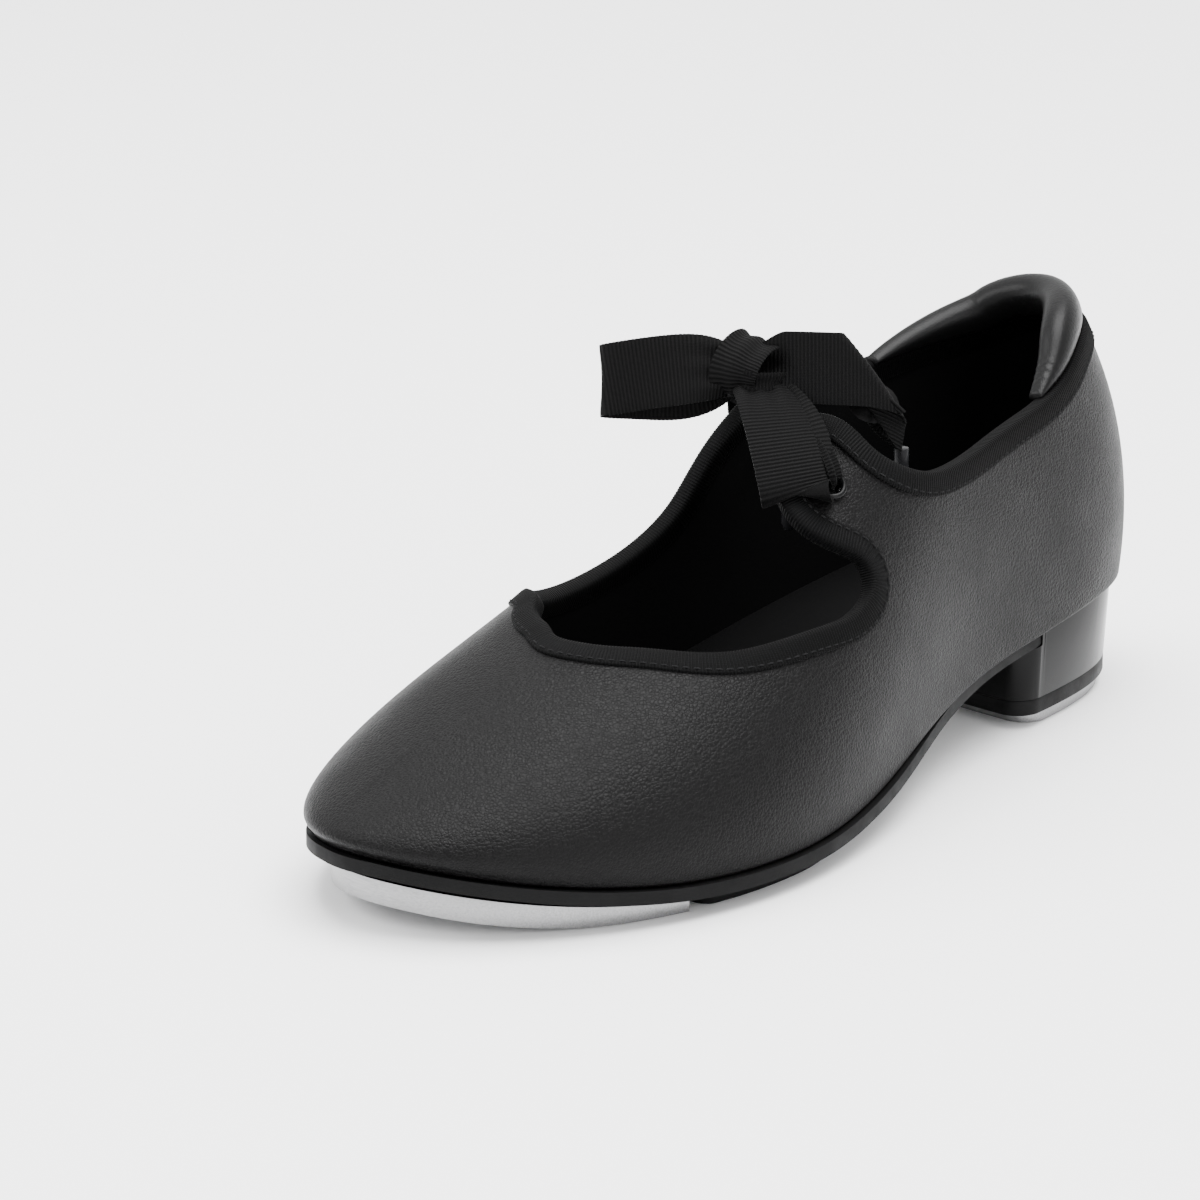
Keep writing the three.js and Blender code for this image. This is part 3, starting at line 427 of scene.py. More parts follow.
def maths(tree, operation, first, second=None):
    node = tree.nodes.new("ShaderNodeMath")
    node.operation = operation
    for index, value in enumerate([first, second]):
        if value is None:
            continue
        if isinstance(value, (int, float)):
            node.inputs[index].default_value = value
        else:
            tree.links.new(value, node.inputs[index])
    return node.outputs[0]


def span(tree, value, low, high, to_low=0.0, to_high=1.0):
    node = add_node(tree, "ShaderNodeMapRange")
    node.inputs["From Min"].default_value = low
    node.inputs["From Max"].default_value = high
    node.inputs["To Min"].default_value = to_low
    node.inputs["To Max"].default_value = to_high
    tree.links.new(value, node.inputs["Value"])
    return node.outputs["Result"]


def noise(tree, place, scale, detail, roughness=0.5):
    node = add_node(tree, "ShaderNodeTexNoise", Scale=scale, Detail=detail, Roughness=roughness)
    tree.links.new(place, node.inputs["Vector"])
    return node.outputs["Fac"]


def pebble_group():
    """Grain of coated leather: rounded pebbles in a web of fine creases, with dull and shiny patches."""
    group, inside, out = new_group(
        "leather_grain", [("Place", "NodeSocketVector", None), ("Pebbles per metre", "NodeSocketFloat", 1000.0)],
        [("Height", "NodeSocketFloat"), ("Patches", "NodeSocketFloat"), ("Creases", "NodeSocketFloat")])
    links = group.links
    place = inside.outputs["Place"]
    warp = add_node(group, "ShaderNodeTexNoise", Scale=700.0, Detail=2.0)
    links.new(place, warp.inputs["Vector"])
    shift = add_node(group, "ShaderNodeVectorMath", operation="MULTIPLY_ADD")
    shift.inputs[1].default_value = (0.0011, 0.0011, 0.0011)
    links.new(warp.outputs["Color"], shift.inputs[0])
    links.new(place, shift.inputs[2])
    cells = add_node(group, "ShaderNodeTexVoronoi", feature="SMOOTH_F1", Smoothness=0.35)
    links.new(shift.outputs[0], cells.inputs["Vector"])
    links.new(inside.outputs["Pebbles per metre"], cells.inputs["Scale"])
    web = add_node(group, "ShaderNodeTexVoronoi", feature="DISTANCE_TO_EDGE")
    links.new(shift.outputs[0], web.inputs["Vector"])
    links.new(inside.outputs["Pebbles per metre"], web.inputs["Scale"])
    crease = span(group, web.outputs["Distance"], 0.0, 0.16)
    dome = span(group, cells.outputs["Distance"], 0.0, 0.75, 1.0, 0.0)
    fine = noise(group, place, 3800.0, 2.0)
    height = maths(group, "ADD", maths(group, "MULTIPLY", dome, 0.5), maths(group, "MULTIPLY", crease, 0.35))
    height = maths(group, "ADD", height, maths(group, "MULTIPLY", fine, 0.25))
    links.new(height, out.inputs["Height"])
    links.new(noise(group, place, 55.0, 4.0, 0.6), out.inputs["Patches"])
    links.new(crease, out.inputs["Creases"])
    return group


def fibre_group():
    """Short crossing fibres and dust, for cloth."""
    group, inside, out = new_group(
        "cloth_fibres", [("Place", "NodeSocketVector", None), ("Fineness", "NodeSocketFloat", 4000.0)],
        [("Height", "NodeSocketFloat"), ("Lint", "NodeSocketFloat")])
    place = inside.outputs["Place"]
    fuzz = add_node(group, "ShaderNodeTexNoise", Detail=4.0, Roughness=0.7)
    group.links.new(place, fuzz.inputs["Vector"])
    group.links.new(inside.outputs["Fineness"], fuzz.inputs["Scale"])
    group.links.new(fuzz.outputs["Fac"], out.inputs["Height"])
    specks = noise(group, place, 1500.0, 3.0, 0.8)
    group.links.new(span(group, specks, 0.68, 0.8), out.inputs["Lint"])
    return group


def scratch_group():
    """Fine straight brush marks along one direction, and small dents."""
    group, inside, out = new_group(
        "brushed_metal", [("Place", "NodeSocketVector", None)],
        [("Height", "NodeSocketFloat"), ("Streaks", "NodeSocketFloat")])
    stretch = add_node(group, "ShaderNodeMapping")
    stretch.inputs["Scale"].default_value = (0.05, 1.0, 1.0)
    stretch.inputs["Rotation"].default_value = (0.0, 0.0, 0.35)
    group.links.new(inside.outputs["Place"], stretch.inputs["Vector"])
    streaks = noise(group, stretch.outputs["Vector"], 2600.0, 4.0, 0.65)
    dents = noise(group, inside.outputs["Place"], 420.0, 3.0, 0.6)
    height = maths(group, "ADD", maths(group, "MULTIPLY", streaks, 0.4), maths(group, "MULTIPLY", dents, 0.6))
    group.links.new(height, out.inputs["Height"])
    group.links.new(streaks, out.inputs["Streaks"])
    return group


PEBBLES = pebble_group()
FIBRES = fibre_group()
BRUSHED = scratch_group()


def new_look(name, color, roughness, metallic=0.0):
    look = bpy.data.materials.new(name)
    look.use_nodes = True
    tree = look.node_tree
    shader = tree.nodes["Principled BSDF"]
    shader.inputs["Base Color"].default_value = (*color, 1)
    shader.inputs["Roughness"].default_value = roughness
    shader.inputs["Metallic"].default_value = metallic
    coordinates = add_node(tree, "ShaderNodeTexCoord")
    return look, tree, shader, coordinates.outputs["Object"]


def use_group(tree, group, place, **values):
    node = tree.nodes.new("ShaderNodeGroup")
    node.node_tree = group
    tree.links.new(place, node.inputs["Place"])
    for key, value in values.items():
        node.inputs[key.replace("_", " ")].default_value = value
    return node


def tint(tree, factor, dark, light):
    mix = add_node(tree, "ShaderNodeMix", data_type="RGBA")
    mix.inputs[6].default_value = (*dark, 1)
    mix.inputs[7].default_value = (*light, 1)
    tree.links.new(factor, mix.inputs[0])
    return mix.outputs[2]


def bump(tree, shader, height, strength, distance):
    node = add_node(tree, "ShaderNodeBump", Strength=strength, Distance=distance)
    tree.links.new(height, node.inputs["Height"])
    tree.links.new(node.outputs["Normal"], shader.inputs["Normal"])


def leather_look(name, dark, light, dull, shiny, pebbles, strength, coat=0.0):
    look, tree, shader, place = new_look(name, dark, dull)
    grain = use_group(tree, PEBBLES, place, Pebbles_per_metre=pebbles)
    tree.links.new(tint(tree, grain.outputs["Patches"], dark, light), shader.inputs["Base Color"])
    tree.links.new(span(tree, grain.outputs["Patches"], 0.3, 0.7, shiny, dull), shader.inputs["Roughness"])
    shader.inputs["Specular IOR Level"].default_value = 0.085
    shader.inputs["Coat Weight"].default_value = coat
    shader.inputs["Coat Roughness"].default_value = 0.35
    bump(tree, shader, grain.outputs["Height"], strength, 0.00028)
    return look


def cloth_look(name, dark, light, strength, sheen, fineness):
    look, tree, shader, place = new_look(name, dark, 0.85)
    fibres = use_group(tree, FIBRES, place, Fineness=fineness)
    tree.links.new(tint(tree, fibres.outputs["Height"], dark, light), shader.inputs["Base Color"])
    shader.inputs["Sheen Weight"].default_value = sheen
    shader.inputs["Sheen Roughness"].default_value = 0.4
    shader.inputs["Specular IOR Level"].default_value = 0.05
    bump(tree, shader, fibres.outputs["Height"], strength, 0.0001)
    return look


YARN = 0.35                      # mm from thread to thread across the ribs


def ribbed_look(name, dark, light, rib):
    """Woven ribs along the piece's own run (u, in millimetres), over finer yarn; the colour runs from dark in the
    hollows to light on the rib crowns as painted shade and highlight, with fibre noise varying it at random.
    """
    look, tree, shader, place = new_look(name, dark, 0.62)
    run = add_node(tree, "ShaderNodeUVMap", uv_map="run")
    parts = add_node(tree, "ShaderNodeSeparateXYZ")
    tree.links.new(run.outputs["UV"], parts.inputs[0])
    wave = maths(tree, "SINE", maths(tree, "MULTIPLY", parts.outputs["X"], 2 * math.pi / rib))
    yarn = maths(tree, "SINE", maths(tree, "MULTIPLY", parts.outputs["Y"], 2 * math.pi / YARN))
    crown = span(tree, wave, -1.0, 1.0)
    fibres = use_group(tree, FIBRES, place, Fineness=3200.0)
    # painted shade and highlight: rib crowns take the light colour and the hollows between ribs the dark one,
    # scaled by random fibre tone
    painted_rib_shading = maths(tree, "MULTIPLY", crown, maths(tree, "ADD", fibres.outputs["Height"], 0.35))
    tree.links.new(tint(tree, painted_rib_shading, dark, light), shader.inputs["Base Color"])
    height = maths(tree, "ADD", crown, maths(tree, "MULTIPLY", yarn, 0.12))
    height = maths(tree, "ADD", height, maths(tree, "MULTIPLY", fibres.outputs["Height"], 0.35))
    shader.inputs["Sheen Weight"].default_value = 0.01
    shader.inputs["Sheen Roughness"].default_value = 0.35
    shader.inputs["Specular IOR Level"].default_value = 0.05
    bump(tree, shader, height, 0.8, 0.00016)
    return look


def rubber_look(name, dark, light, roughness=0.62):
    look, tree, shader, place = new_look(name, dark, roughness)
    mottle = noise(tree, place, 160.0, 4.0, 0.6)
    tree.links.new(tint(tree, mottle, dark, light), shader.inputs["Base Color"])
    tree.links.new(span(tree, mottle, 0.3, 0.7, roughness - 0.1, roughness + 0.08), shader.inputs["Roughness"])
    shader.inputs["Specular IOR Level"].default_value = 0.09
    grit = maths(tree, "ADD", noise(tree, place, 2500.0, 2.0), maths(tree, "MULTIPLY", mottle, 0.8))
    bump(tree, shader, grit, 0.25, 0.00012)
    return look


def metal_look(name, dark, light, low, high, strength):
    look, tree, shader, place = new_look(name, light, high, 1.0)
    marks = use_group(tree, BRUSHED, place)
    tree.links.new(tint(tree, marks.outputs["Streaks"], dark, light), shader.inputs["Base Color"])
    tree.links.new(span(tree, marks.outputs["Streaks"], 0.3, 0.7, low, high), shader.inputs["Roughness"])
    bump(tree, shader, marks.outputs["Height"], strength, 0.00006)
    return look


def gloss_look(name, color, roughness):
    look, tree, shader, place = new_look(name, color, roughness)
    smudge = noise(tree, place, 90.0, 4.0, 0.6)
    tree.links.new(span(tree, smudge, 0.35, 0.75, roughness, roughness + 0.12), shader.inputs["Roughness"])
    shader.inputs["Specular IOR Level"].default_value = 0.08
    shader.inputs["Coat Weight"].default_value = 0.03
    shader.inputs["Coat Roughness"].default_value = 0.06
    bump(tree, shader, noise(tree, place, 45.0, 2.0), 0.1, 0.0006)
    return look


LEATHER = leather_look("upper_leather", (0.0014, 0.0013, 0.0014), (0.0024, 0.0023, 0.0024), 0.48, 0.38, 1250.0, 0.6)
SOFT_LEATHER = leather_look("collar_leather", (0.0024, 0.0024, 0.0025), (0.0038, 0.0038, 0.0039), 0.36, 0.3,
                            1300.0, 0.2, coat=0.06)
LINING = cloth_look("lining_knit", (0.0012, 0.0012, 0.0013), (0.003, 0.003, 0.0031), 0.5, 0.01, 2600.0)
SOCK = cloth_look("sock_cloth", (0.0012, 0.0012, 0.0013), (0.003, 0.003, 0.0031), 0.4, 0.01, 2200.0)
# in these two the light colour is a painted highlight on the rib crowns and the dark one painted shade between the
# ribs
BINDING = ribbed_look("binding_grosgrain", (0.0004, 0.0004, 0.00044), (0.0022, 0.0022, 0.0023), 1.0)
RIBBON = ribbed_look("ribbon_grosgrain", (0.0004, 0.0004, 0.00044), (0.0034, 0.0033, 0.0034), 0.85)
THREAD = cloth_look("sewing_thread", (0.004, 0.004, 0.0042), (0.012, 0.012, 0.0125), 0.6, 0.04, 6000.0)
RUBBER = rubber_look("sole_rubber", (0.0012, 0.0012, 0.0013), (0.003, 0.003, 0.0031))
LIFT_RUBBER = rubber_look("lift_rubber", (0.001, 0.001, 0.0011), (0.0026, 0.0026, 0.0027), 0.5)
BOARD = cloth_look("fibreboard", (0.05, 0.035, 0.022), (0.1, 0.075, 0.05), 0.5, 0.0, 1800.0)
TAP_BOARD = rubber_look("tap_board", (0.006, 0.006, 0.0065), (0.012, 0.012, 0.013), 0.7)
FOAM = cloth_look("sole_foam", (0.08, 0.08, 0.08), (0.16, 0.16, 0.16), 0.6, 0.0, 1500.0)
ALUMINIUM = metal_look("tap_aluminium", (0.12, 0.12, 0.122), (0.42, 0.42, 0.424), 0.28, 0.46, 0.9)
STEEL = metal_look("zinc_steel", (0.35, 0.35, 0.36), (0.6, 0.6, 0.61), 0.22, 0.4, 0.3)
ENAMEL = gloss_look("eyelet_enamel", (0.003, 0.003, 0.0032), 0.14)
HEEL_GLOSS = gloss_look("heel_covering", (0.002, 0.002, 0.0021), 0.12)
AGLET_FILM = gloss_look("aglet_film", (0.012, 0.012, 0.013), 0.16)

# ---------------------------------------------------------------- the upper
# inset from the footprint, height from the feather
LASTED_ROWS = [(8.0, -1.2), (2.4, -1.2), (1.0, -1.1), (0.35, -0.75), (0.08, -0.35)]


def lasted_edge(foot):
    """Rows of points under the feather line, where the leather turns in below the insole."""
    rows = []
    for inset, drop in LASTED_ROWS:
        place = inset_print(foot, inset)
        rows.append(np.column_stack([place, feather(place[:, 1]) + drop]))
    return rows


PUCKER_COUNT = 88
PUCKER_HEIGHT = 0.07
UNEVENNESS = 0.1


def lasting_puckers(t, rise):
    """Small soft gathers round the toe, just over the sole, and the slow unevenness of drawn leather."""
    at_toe = smooth(0.14, 0.05, np.minimum(t % 1, 1 - t % 1))
    wave = np.sin(t * 2 * math.pi * PUCKER_COUNT + 1.3 * np.sin(t * 97))
    pucker = PUCKER_HEIGHT * wave * np.exp(-(rise / 0.16) ** 2) * at_toe
    slow = UNEVENNESS * np.sin(t * 31 + 2.1 * rise) * np.sin(rise * 6.0 + 9 * t)
    slow = slow * np.sin(np.clip(rise * 2, 0, math.pi))
    return pucker + slow


LINING_GAP = 0.35
LINING_DEEPER = 0.6              # low down, where the counter and the puff lie behind the lining


def shell_piece(name, outer, inner):
    """A shell round the shoe, closed from its outer face and its inner one."""
    ring = np.concatenate([outer, inner[:, ::-1]], 1)
    return mesh_piece(name, ring.reshape(-1, 3), grid_faces(*ring.shape[:2], True, True))


outside = skin(NET_T, NET_RISE, lasting_puckers(NET_T, NET_RISE)[..., None])
wall = np.concatenate([np.stack(lasted_edge(NET_T[:, 0]), 1), outside], 1)
inside_wall = skin(NET_T, NET_RISE, -UPPER_THICKNESS)
upper = shell_piece("leather_upper", wall, inside_wall)
finish_piece(upper, LEATHER, ["upper"], 60)

lining_out = skin(NET_T[::2], NET_RISE[::2], -UPPER_THICKNESS - LINING_GAP)[:, 1::2]
low_down = smooth(0.95, 0.75, np.linspace(0, 1, WALL_ROWS + 1))
lining_in = skin(NET_T[::2], NET_RISE[::2], -(LINING_INSIDE + LINING_DEEPER * low_down)[None, :, None])[:, 1::2]
lining = shell_piece("knit_lining", lining_out, lining_in)
finish_piece(lining, LINING, ["vamp_lining", "quarter_lining"], 60)


# ---------------------------------------------------------------- places beside the topline
def beside_topline(u, offset, up):
    """Points beside the topline: offset out from the leather's face, up past its edge or down below it."""
    edge = topline(u)
    t, rise = edge[:, 0].copy(), edge[:, 1].copy()
    step = 0.0005
    ahead = topline(u + step) - topline(u - step)
    along, climb = last_slopes(t, rise)
    run = unit(along * ahead[:, 0:1] + climb * ahead[:, 1:2])
    normal = unit(np.cross(along, climb))
    upward = unit(np.cross(normal, run))
    if up >= 0:
        return last(t, rise) + normal * offset + upward * up
    down = -up
    paces = max(1, int(math.ceil(down / 0.8)))
    for _ in range(paces):
        along, climb = last_slopes(t, rise)
        normal = unit(np.cross(along, climb))
        across = unit(np.cross(normal, run))
        move = -across * down / paces
        a11, a12, a22 = (along * along).sum(-1), (along * climb).sum(-1), (climb * climb).sum(-1)
        b1, b2 = (along * move).sum(-1), (climb * move).sum(-1)
        det = a11 * a22 - a12 * a12
        t += (b1 * a22 - b2 * a12) / det
        rise += (a11 * b2 - a12 * b1) / det
    return skin(t, rise, offset)


def ease(points, passes):
    """Evens out a closed row of points along its run."""
    for _ in range(passes):
        points = 0.5 * points + 0.25 * (np.roll(points, 1, 0) + np.roll(points, -1, 0))
    return points


# ---------------------------------------------------------------- binding
RIBS = 700
STEPS_PER_RIB = 4
BINDING_RIB_HEIGHT = 0.055
BINDING_FACE = 5                 # the leg that the tape's run is measured along
STITCH_LINE = -3.75
# round the tape's section: out from the leather's face, up past its edge, how deep the ribs are there
BINDING_LEGS = [(0.12, -BINDING_WIDTH, 0), (0.62, -BINDING_WIDTH + 0.1, 0.5), (0.78, -BINDING_WIDTH + 0.5, 1),
                (0.72, STITCH_LINE, 0.5), (0.85, -3.0, 1), (0.92, -1.6, 1), (0.95, -0.2, 1), (0.75, 0.7, 1),
                (0.1, 1.15, 1), (-1.4, 1.3, 1), (-2.9, 1.15, 1), (-3.5, 0.6, 1), (-3.7, -0.4, 1),
                (-3.6, -2.2, 1), (-3.45, -4.0, 1), (-3.3, -BINDING_WIDTH, 0.5), (-2.7, -BINDING_WIDTH, 0),
                (-2.6, -2.0, 0), (-2.2, 0.15, 0), (-0.6, 0.3, 0), (0.1, 0.1, 0), (0.12, -2.0, 0)]


def add_binding():
    count = RIBS * STEPS_PER_RIB
    u = even_stations(count, 0.0)
    rows = []
    phase = np.arange(count) / STEPS_PER_RIB * 2 * math.pi
    for offset, up, ribbed in BINDING_LEGS:
        points = ease(beside_topline(u, offset, up), 24 if up < -0.5 else 6)
        core = ease(beside_topline(u, -1.35, min(up, -0.2) if up < 0 else 0.0), 24)
        out = unit(points - core)
        rows.append(points + out * (BINDING_RIB_HEIGHT * ribbed * np.cos(phase))[:, None])
    sections = np.stack(rows, 1)
    run = run_along(sections[:, BINDING_FACE])
    legs = len(BINDING_LEGS)
    uv = np.stack([np.repeat(np.arange(count) / STEPS_PER_RIB, legs), np.tile(np.arange(legs) * 1.1, count)], -1)
    piece = tube_of("topline_binding_tape", sections, True, uv)
    finish_piece(piece, BINDING, ["topline_binding"], 70)
    return u, run


binding_u, binding_run = add_binding()

STITCH_PITCH = 2.4
STITCH_LENGTH = 1.7
STITCH_RADIUS = 0.17
STITCH_SIDES = 6


def add_stitches():
    count = int(binding_run[-1] / STITCH_PITCH)
    places = np.interp(np.arange(count) * STITCH_PITCH, binding_run, binding_u)
    ends = np.interp(np.arange(count) * STITCH_PITCH + STITCH_LENGTH, binding_run, binding_u)
    start = beside_topline(places, 0.82, STITCH_LINE)
    stop = beside_topline(ends, 0.82, STITCH_LINE)
    root = beside_topline(places, 0.5, STITCH_LINE)
    points, faces = [], []
    rings = [(0.0, 0.35, -0.16), (0.18, 0.9, 0.02), (0.5, 1.0, 0.08), (0.82, 0.9, 0.02), (1.0, 0.35, -0.16)]
    for a, b, low in zip(start, stop, root):
        ahead = unit(b - a)
        out = unit(a - low)
        side = np.cross(ahead, out)
        first = len(points)
        for share, size, lift in rings:
            for k in range(STITCH_SIDES):
                angle = 2 * math.pi * k / STITCH_SIDES
                points.append(a + (b - a) * share + out * lift
                              + (out * math.cos(angle) + side * math.sin(angle)) * STITCH_RADIUS * size)
        faces += grid_faces(len(rings), STITCH_SIDES, False, True, first)
        faces += [[first + k for k in range(STITCH_SIDES)][::-1],
                  [first + (len(rings) - 1) * STITCH_SIDES + k for k in range(STITCH_SIDES)]]
    piece = mesh_piece("binding_stitches", points, faces)
    finish_piece(piece, THREAD, (), 80)


add_stitches()

# ---------------------------------------------------------------- padded collar
COLLAR_STATIONS = 150
COLLAR_SIDES = 28
COLLAR_TRIM = 0.006              # the roll starts a little behind its solid
COLLAR_OUTER_TAPER = 0.3         # the share of the roll that narrows to each end
COLLAR_INNER_TAPER = 0.5
COLLAR_FOOT = 0.9
COLLAR_ROUNDNESS = 0.85          # 1 is an ellipse, less is squarer


def evened(points, passes):
    """Evens out an open row of points, with its ends kept."""
    for _ in range(passes):
        between = 0.25 * points[:-2] + 0.5 * points[1:-1] + 0.25 * points[2:]
        points = np.concatenate([points[:1], between, points[-1:]])
    return points


def add_collar():
    u = np.linspace(topline_u(COLLAR_OUTER_END + COLLAR_TRIM), topline_u(1 - COLLAR_INNER_END), COLLAR_STATIONS)
    share = np.arange(COLLAR_STATIONS) / (COLLAR_STATIONS - 1)
    end = np.minimum(np.clip(share / COLLAR_OUTER_TAPER, 0, 1), np.clip((1 - share) / COLLAR_INNER_TAPER, 0, 1))
    full = np.sin(end * math.pi / 2) ** 0.9
    edge = evened(beside_topline(u, 0, 0.0), 30)
    upward = unit(evened(unit(beside_topline(u, 0, 1.0) - beside_topline(u, 0, 0.0)), 30))
    normal = unit(evened(unit(beside_topline(u, 1.0, 0.0) - beside_topline(u, 0, 0.0)), 30))
    sections = []
    for k in range(COLLAR_SIDES):
        angle = 2 * math.pi * (k + 0.5) / COLLAR_SIDES
        c, s = math.cos(angle), math.sin(angle)
        wide = COLLAR_THICKNESS / 2 * np.sign(c) * abs(c) ** COLLAR_ROUNDNESS * (0.4 + 0.6 * full)
        tall = COLLAR_HEIGHT / 2 * (0.14 + 0.86 * full)
        height = COLLAR_FOOT + tall * (1 + np.sign(s) * abs(s) ** COLLAR_ROUNDNESS)
        tuck = 0.16 * np.exp(-((share - 0.06) / 0.03) ** 2) * np.sin(share * 300 + 1.5 * c) * (0.4 + 0.6 * abs(s))
        sections.append(edge + normal * (wide - COLLAR_SET_IN + tuck * c)[:, None]
                        + upward * (height + tuck * s)[:, None])
    piece = tube_of("collar_roll", np.stack(sections, 1), False)
    finish_piece(piece, SOFT_LEATHER, ["collar_pad"], 75)


add_collar()

# ---------------------------------------------------------------- plates that follow the footprint
TOE_ARC = 0.055                  # half of the toe's share of the way round
HEEL_ARC = 0.06
SHARP = 50                       # degrees: a plate's edge this sharp is softened


def side_edge(inset):
    """Points down the outer and the inner side, inset by a distance or by a function of y."""
    sides = []
    for direction in (1, -1):
        t = np.linspace(0, 0.5, 721) * direction
        sides.append(inset_print(t, inset(footprint(t)[:, 1]) if callable(inset) else inset))
    return sides


def round_end(inset, centre, half, columns):
    """The toe's or heel's arc of an inset footprint, from the inner side to the outer."""
    t = np.linspace(-half, half, columns + 1) if centre == 0 else 0.5 + np.linspace(half, -half, columns + 1)
    return inset_print(t, inset)


def plate_net(start, stop, inset, rows, columns, corner=0.0, steps=()):
    """Points over a stretch of the footprint; start may be "toe" and stop "heel". Corners round its front."""
    outer, inner = side_edge(inset)
    amount = inset if not callable(inset) else float(inset(np.array([0.0]))[0])
    front = round_end(amount, 0, TOE_ARC, columns) if start == "toe" else None
    rear = round_end(amount, 0.5, HEEL_ARC, columns) if stop == "heel" else None
    share = 0.5 - 0.5 * np.cos(np.linspace(0, math.pi, rows + 1))
    sides = []
    for index, side in enumerate((inner, outer)):
        y0 = front[-index, 1] if front is not None else start
        y1 = rear[-index, 1] if rear is not None else stop
        y = y0 + (y1 - y0) * share
        for place in steps:
            y[int(np.argmin(np.abs(y - place)))] = place
        x = np.interp(y, side[:, 1], side[:, 0])
        if front is None and corner > 0:
            near = np.minimum(y - start, corner)
            bite = corner - np.sqrt(np.maximum(corner ** 2 - (corner - near) ** 2, 0))
            x = x + bite * (1 if index == 0 else -1)
        sides.append(np.stack([x, y], -1))
    if front is None:
        front = np.linspace(sides[0][0], sides[1][0], columns + 1)
    if rear is None:
        rear = np.linspace(sides[0][-1], sides[1][-1], columns + 1)
    u = np.linspace(0, 1, columns + 1)[None, :, None]
    v = share[:, None, None]
    ruled = (1 - v) * front[None] + v * rear[None]
    across = (1 - u) * sides[0][:, None] + u * sides[1][:, None]
    corners = ((1 - u) * (1 - v) * front[0] + u * (1 - v) * front[-1] + (1 - u) * v * rear[0] + u * v * rear[-1])
    return ruled + across - corners


def soften_edges(piece, amount, segments, sharpness, crisp=None):
    """Bevels the sharp edges, but not those that lie between crisp's two y."""
    make_active(piece)
    bpy.ops.object.mode_set(mode="EDIT")
    bpy.ops.mesh.select_mode(type="EDGE")
    bpy.ops.mesh.select_all(action="DESELECT")
    bpy.ops.mesh.edges_select_sharp(sharpness=math.radians(sharpness))
    if crisp:
        bpy.ops.object.mode_set(mode="OBJECT")
        low, high = ((y + SEAT[1]) / 1000 for y in crisp)
        for edge in piece.data.edges:
            if all(low < piece.data.vertices[v].co.y < high for v in edge.vertices):
                edge.select = False
        bpy.ops.object.mode_set(mode="EDIT")
    bpy.ops.mesh.bevel(offset=amount / 1000, segments=segments, affect="EDGES", clamp_overlap=True)
    bpy.ops.object.mode_set(mode="OBJECT")


def plate_piece(name, net, top, bottom, soften, under=None, segments=3, crisp=None):
    """A plate from a flat grid, drawn down to its underside, with softened edges."""
    rows, columns = net.shape[0] - 1, net.shape[1] - 1
    deselect_all()
    bpy.ops.mesh.primitive_grid_add(x_subdivisions=columns, y_subdivisions=rows, size=2)
    piece = bpy.context.active_object
    piece.name = piece.data.name = name
    bpy.ops.object.mode_set(mode="EDIT")
    bpy.ops.mesh.select_all(action="SELECT")
    bpy.ops.mesh.extrude_region_move(TRANSFORM_OT_translate={"value": (0, 0, -1)})
    bpy.ops.object.mode_set(mode="OBJECT")
    under = net if under is None else under
    for vertex in piece.data.vertices:
        i = int(round((vertex.co.y + 1) / 2 * rows))
        j = int(round((vertex.co.x + 1) / 2 * columns))
        upper_side = vertex.co.z > -0.5
        x, y = (net if upper_side else under)[i, j]
        z = float(top(y)) if upper_side else float(bottom(y))
        vertex.co = seat((x, y, z))
    face_out(piece)
    soften_edges(piece, soften, segments, SHARP, crisp)
    return piece


def margin_bottom(y):
    return feather(y) - UPPER_THICKNESS


def outsole_top(y):
    return margin_bottom(y) - GAP / 2


def outsole_bottom(y):
    return margin_bottom(y) - GAP - OUTSOLE_THICKNESS


def sole_inset(y):
    """The sole's ledge dies away towards the heel, where its side is flush with the block's."""
    return -OUTSOLE_LEDGE + (HEEL_TOP_INSET + 0.3 + OUTSOLE_LEDGE) * smooth(120, HEEL_BREAST, y)


outsole = plate_piece("rubber_outsole", plate_net("toe", HEEL_BREAST + SOLE_TONGUE, sole_inset, 150, 26),
                      outsole_top, outsole_bottom, 0.95, segments=4,
                      crisp=(HEEL_BREAST + SOLE_TONGUE - 0.2, SHOE_LENGTH))
finish_piece(outsole, RUBBER, ["outsole"], 50)

grip_net = plate_net(TOE_TAP_END + 4, GRIP_PAD_END, TAP_INSET, 60, 20, 3.0)
grip = plate_piece("grip_pad", grip_net, lambda y: outsole_bottom(y) - GAP / 2,
                   lambda y: np.maximum(GRIP_PAD_CLEARANCE, outsole_bottom(y) - 4.2), 0.7)
finish_piece(grip, RUBBER, ["sole_grip_pad"], 50)

sock_inset = GAP + LINING_INSIDE + 0.6
sock_net = plate_net("toe", "heel", sock_inset, 90, 18)
sock = plate_piece("sock_lining_pad", sock_net,
                   lambda y: feather(y) + 2 * GAP + BOARD_THICKNESS + SOCK_THICKNESS + 0.8,
                   lambda y: feather(y) + 2 * GAP + BOARD_THICKNESS + 0.8, 0.8)
finish_piece(sock, SOCK, ["sock_lining"], 50)

tap_board_net = plate_net("toe", TOE_TAP_END - 1, TAP_INSET + 1.2, 60, 18)
tap_board = plate_piece("tap_sound_board", tap_board_net, lambda y: outsole_bottom(y) - GAP / 2,
                        lambda y: outsole_bottom(y) - GAP - TAP_BOARD_THICKNESS, 0.25)
finish_piece(tap_board, TAP_BOARD, ["toe_tap_board"], 40)


def tap_bottom(y):
    return TAP_TOE_SPRING * (np.maximum(TAP_FLAT_START - y, 0) / TAP_FLAT_START) ** 2


# ---------------------------------------------------------------- taps and their screws
SCREW_HEAD_RADIUS = 2.9
SCREW_HEAD_HEIGHT = 1.5
SCREW_SHANK_RADIUS = 1.3
SCREW_SINK = 0.3
SCREW_SIDES = 40
SCREW_CLEARANCE = 0.25
RECESS = (3.0, 0.62, 1.7)        # one bar of the cross
TOE_SCREWS = [(-25, 36), (21, 36), (-5, 17)]
HEEL_SCREWS = [(-12, 212), (12, 212), (0, 232)]


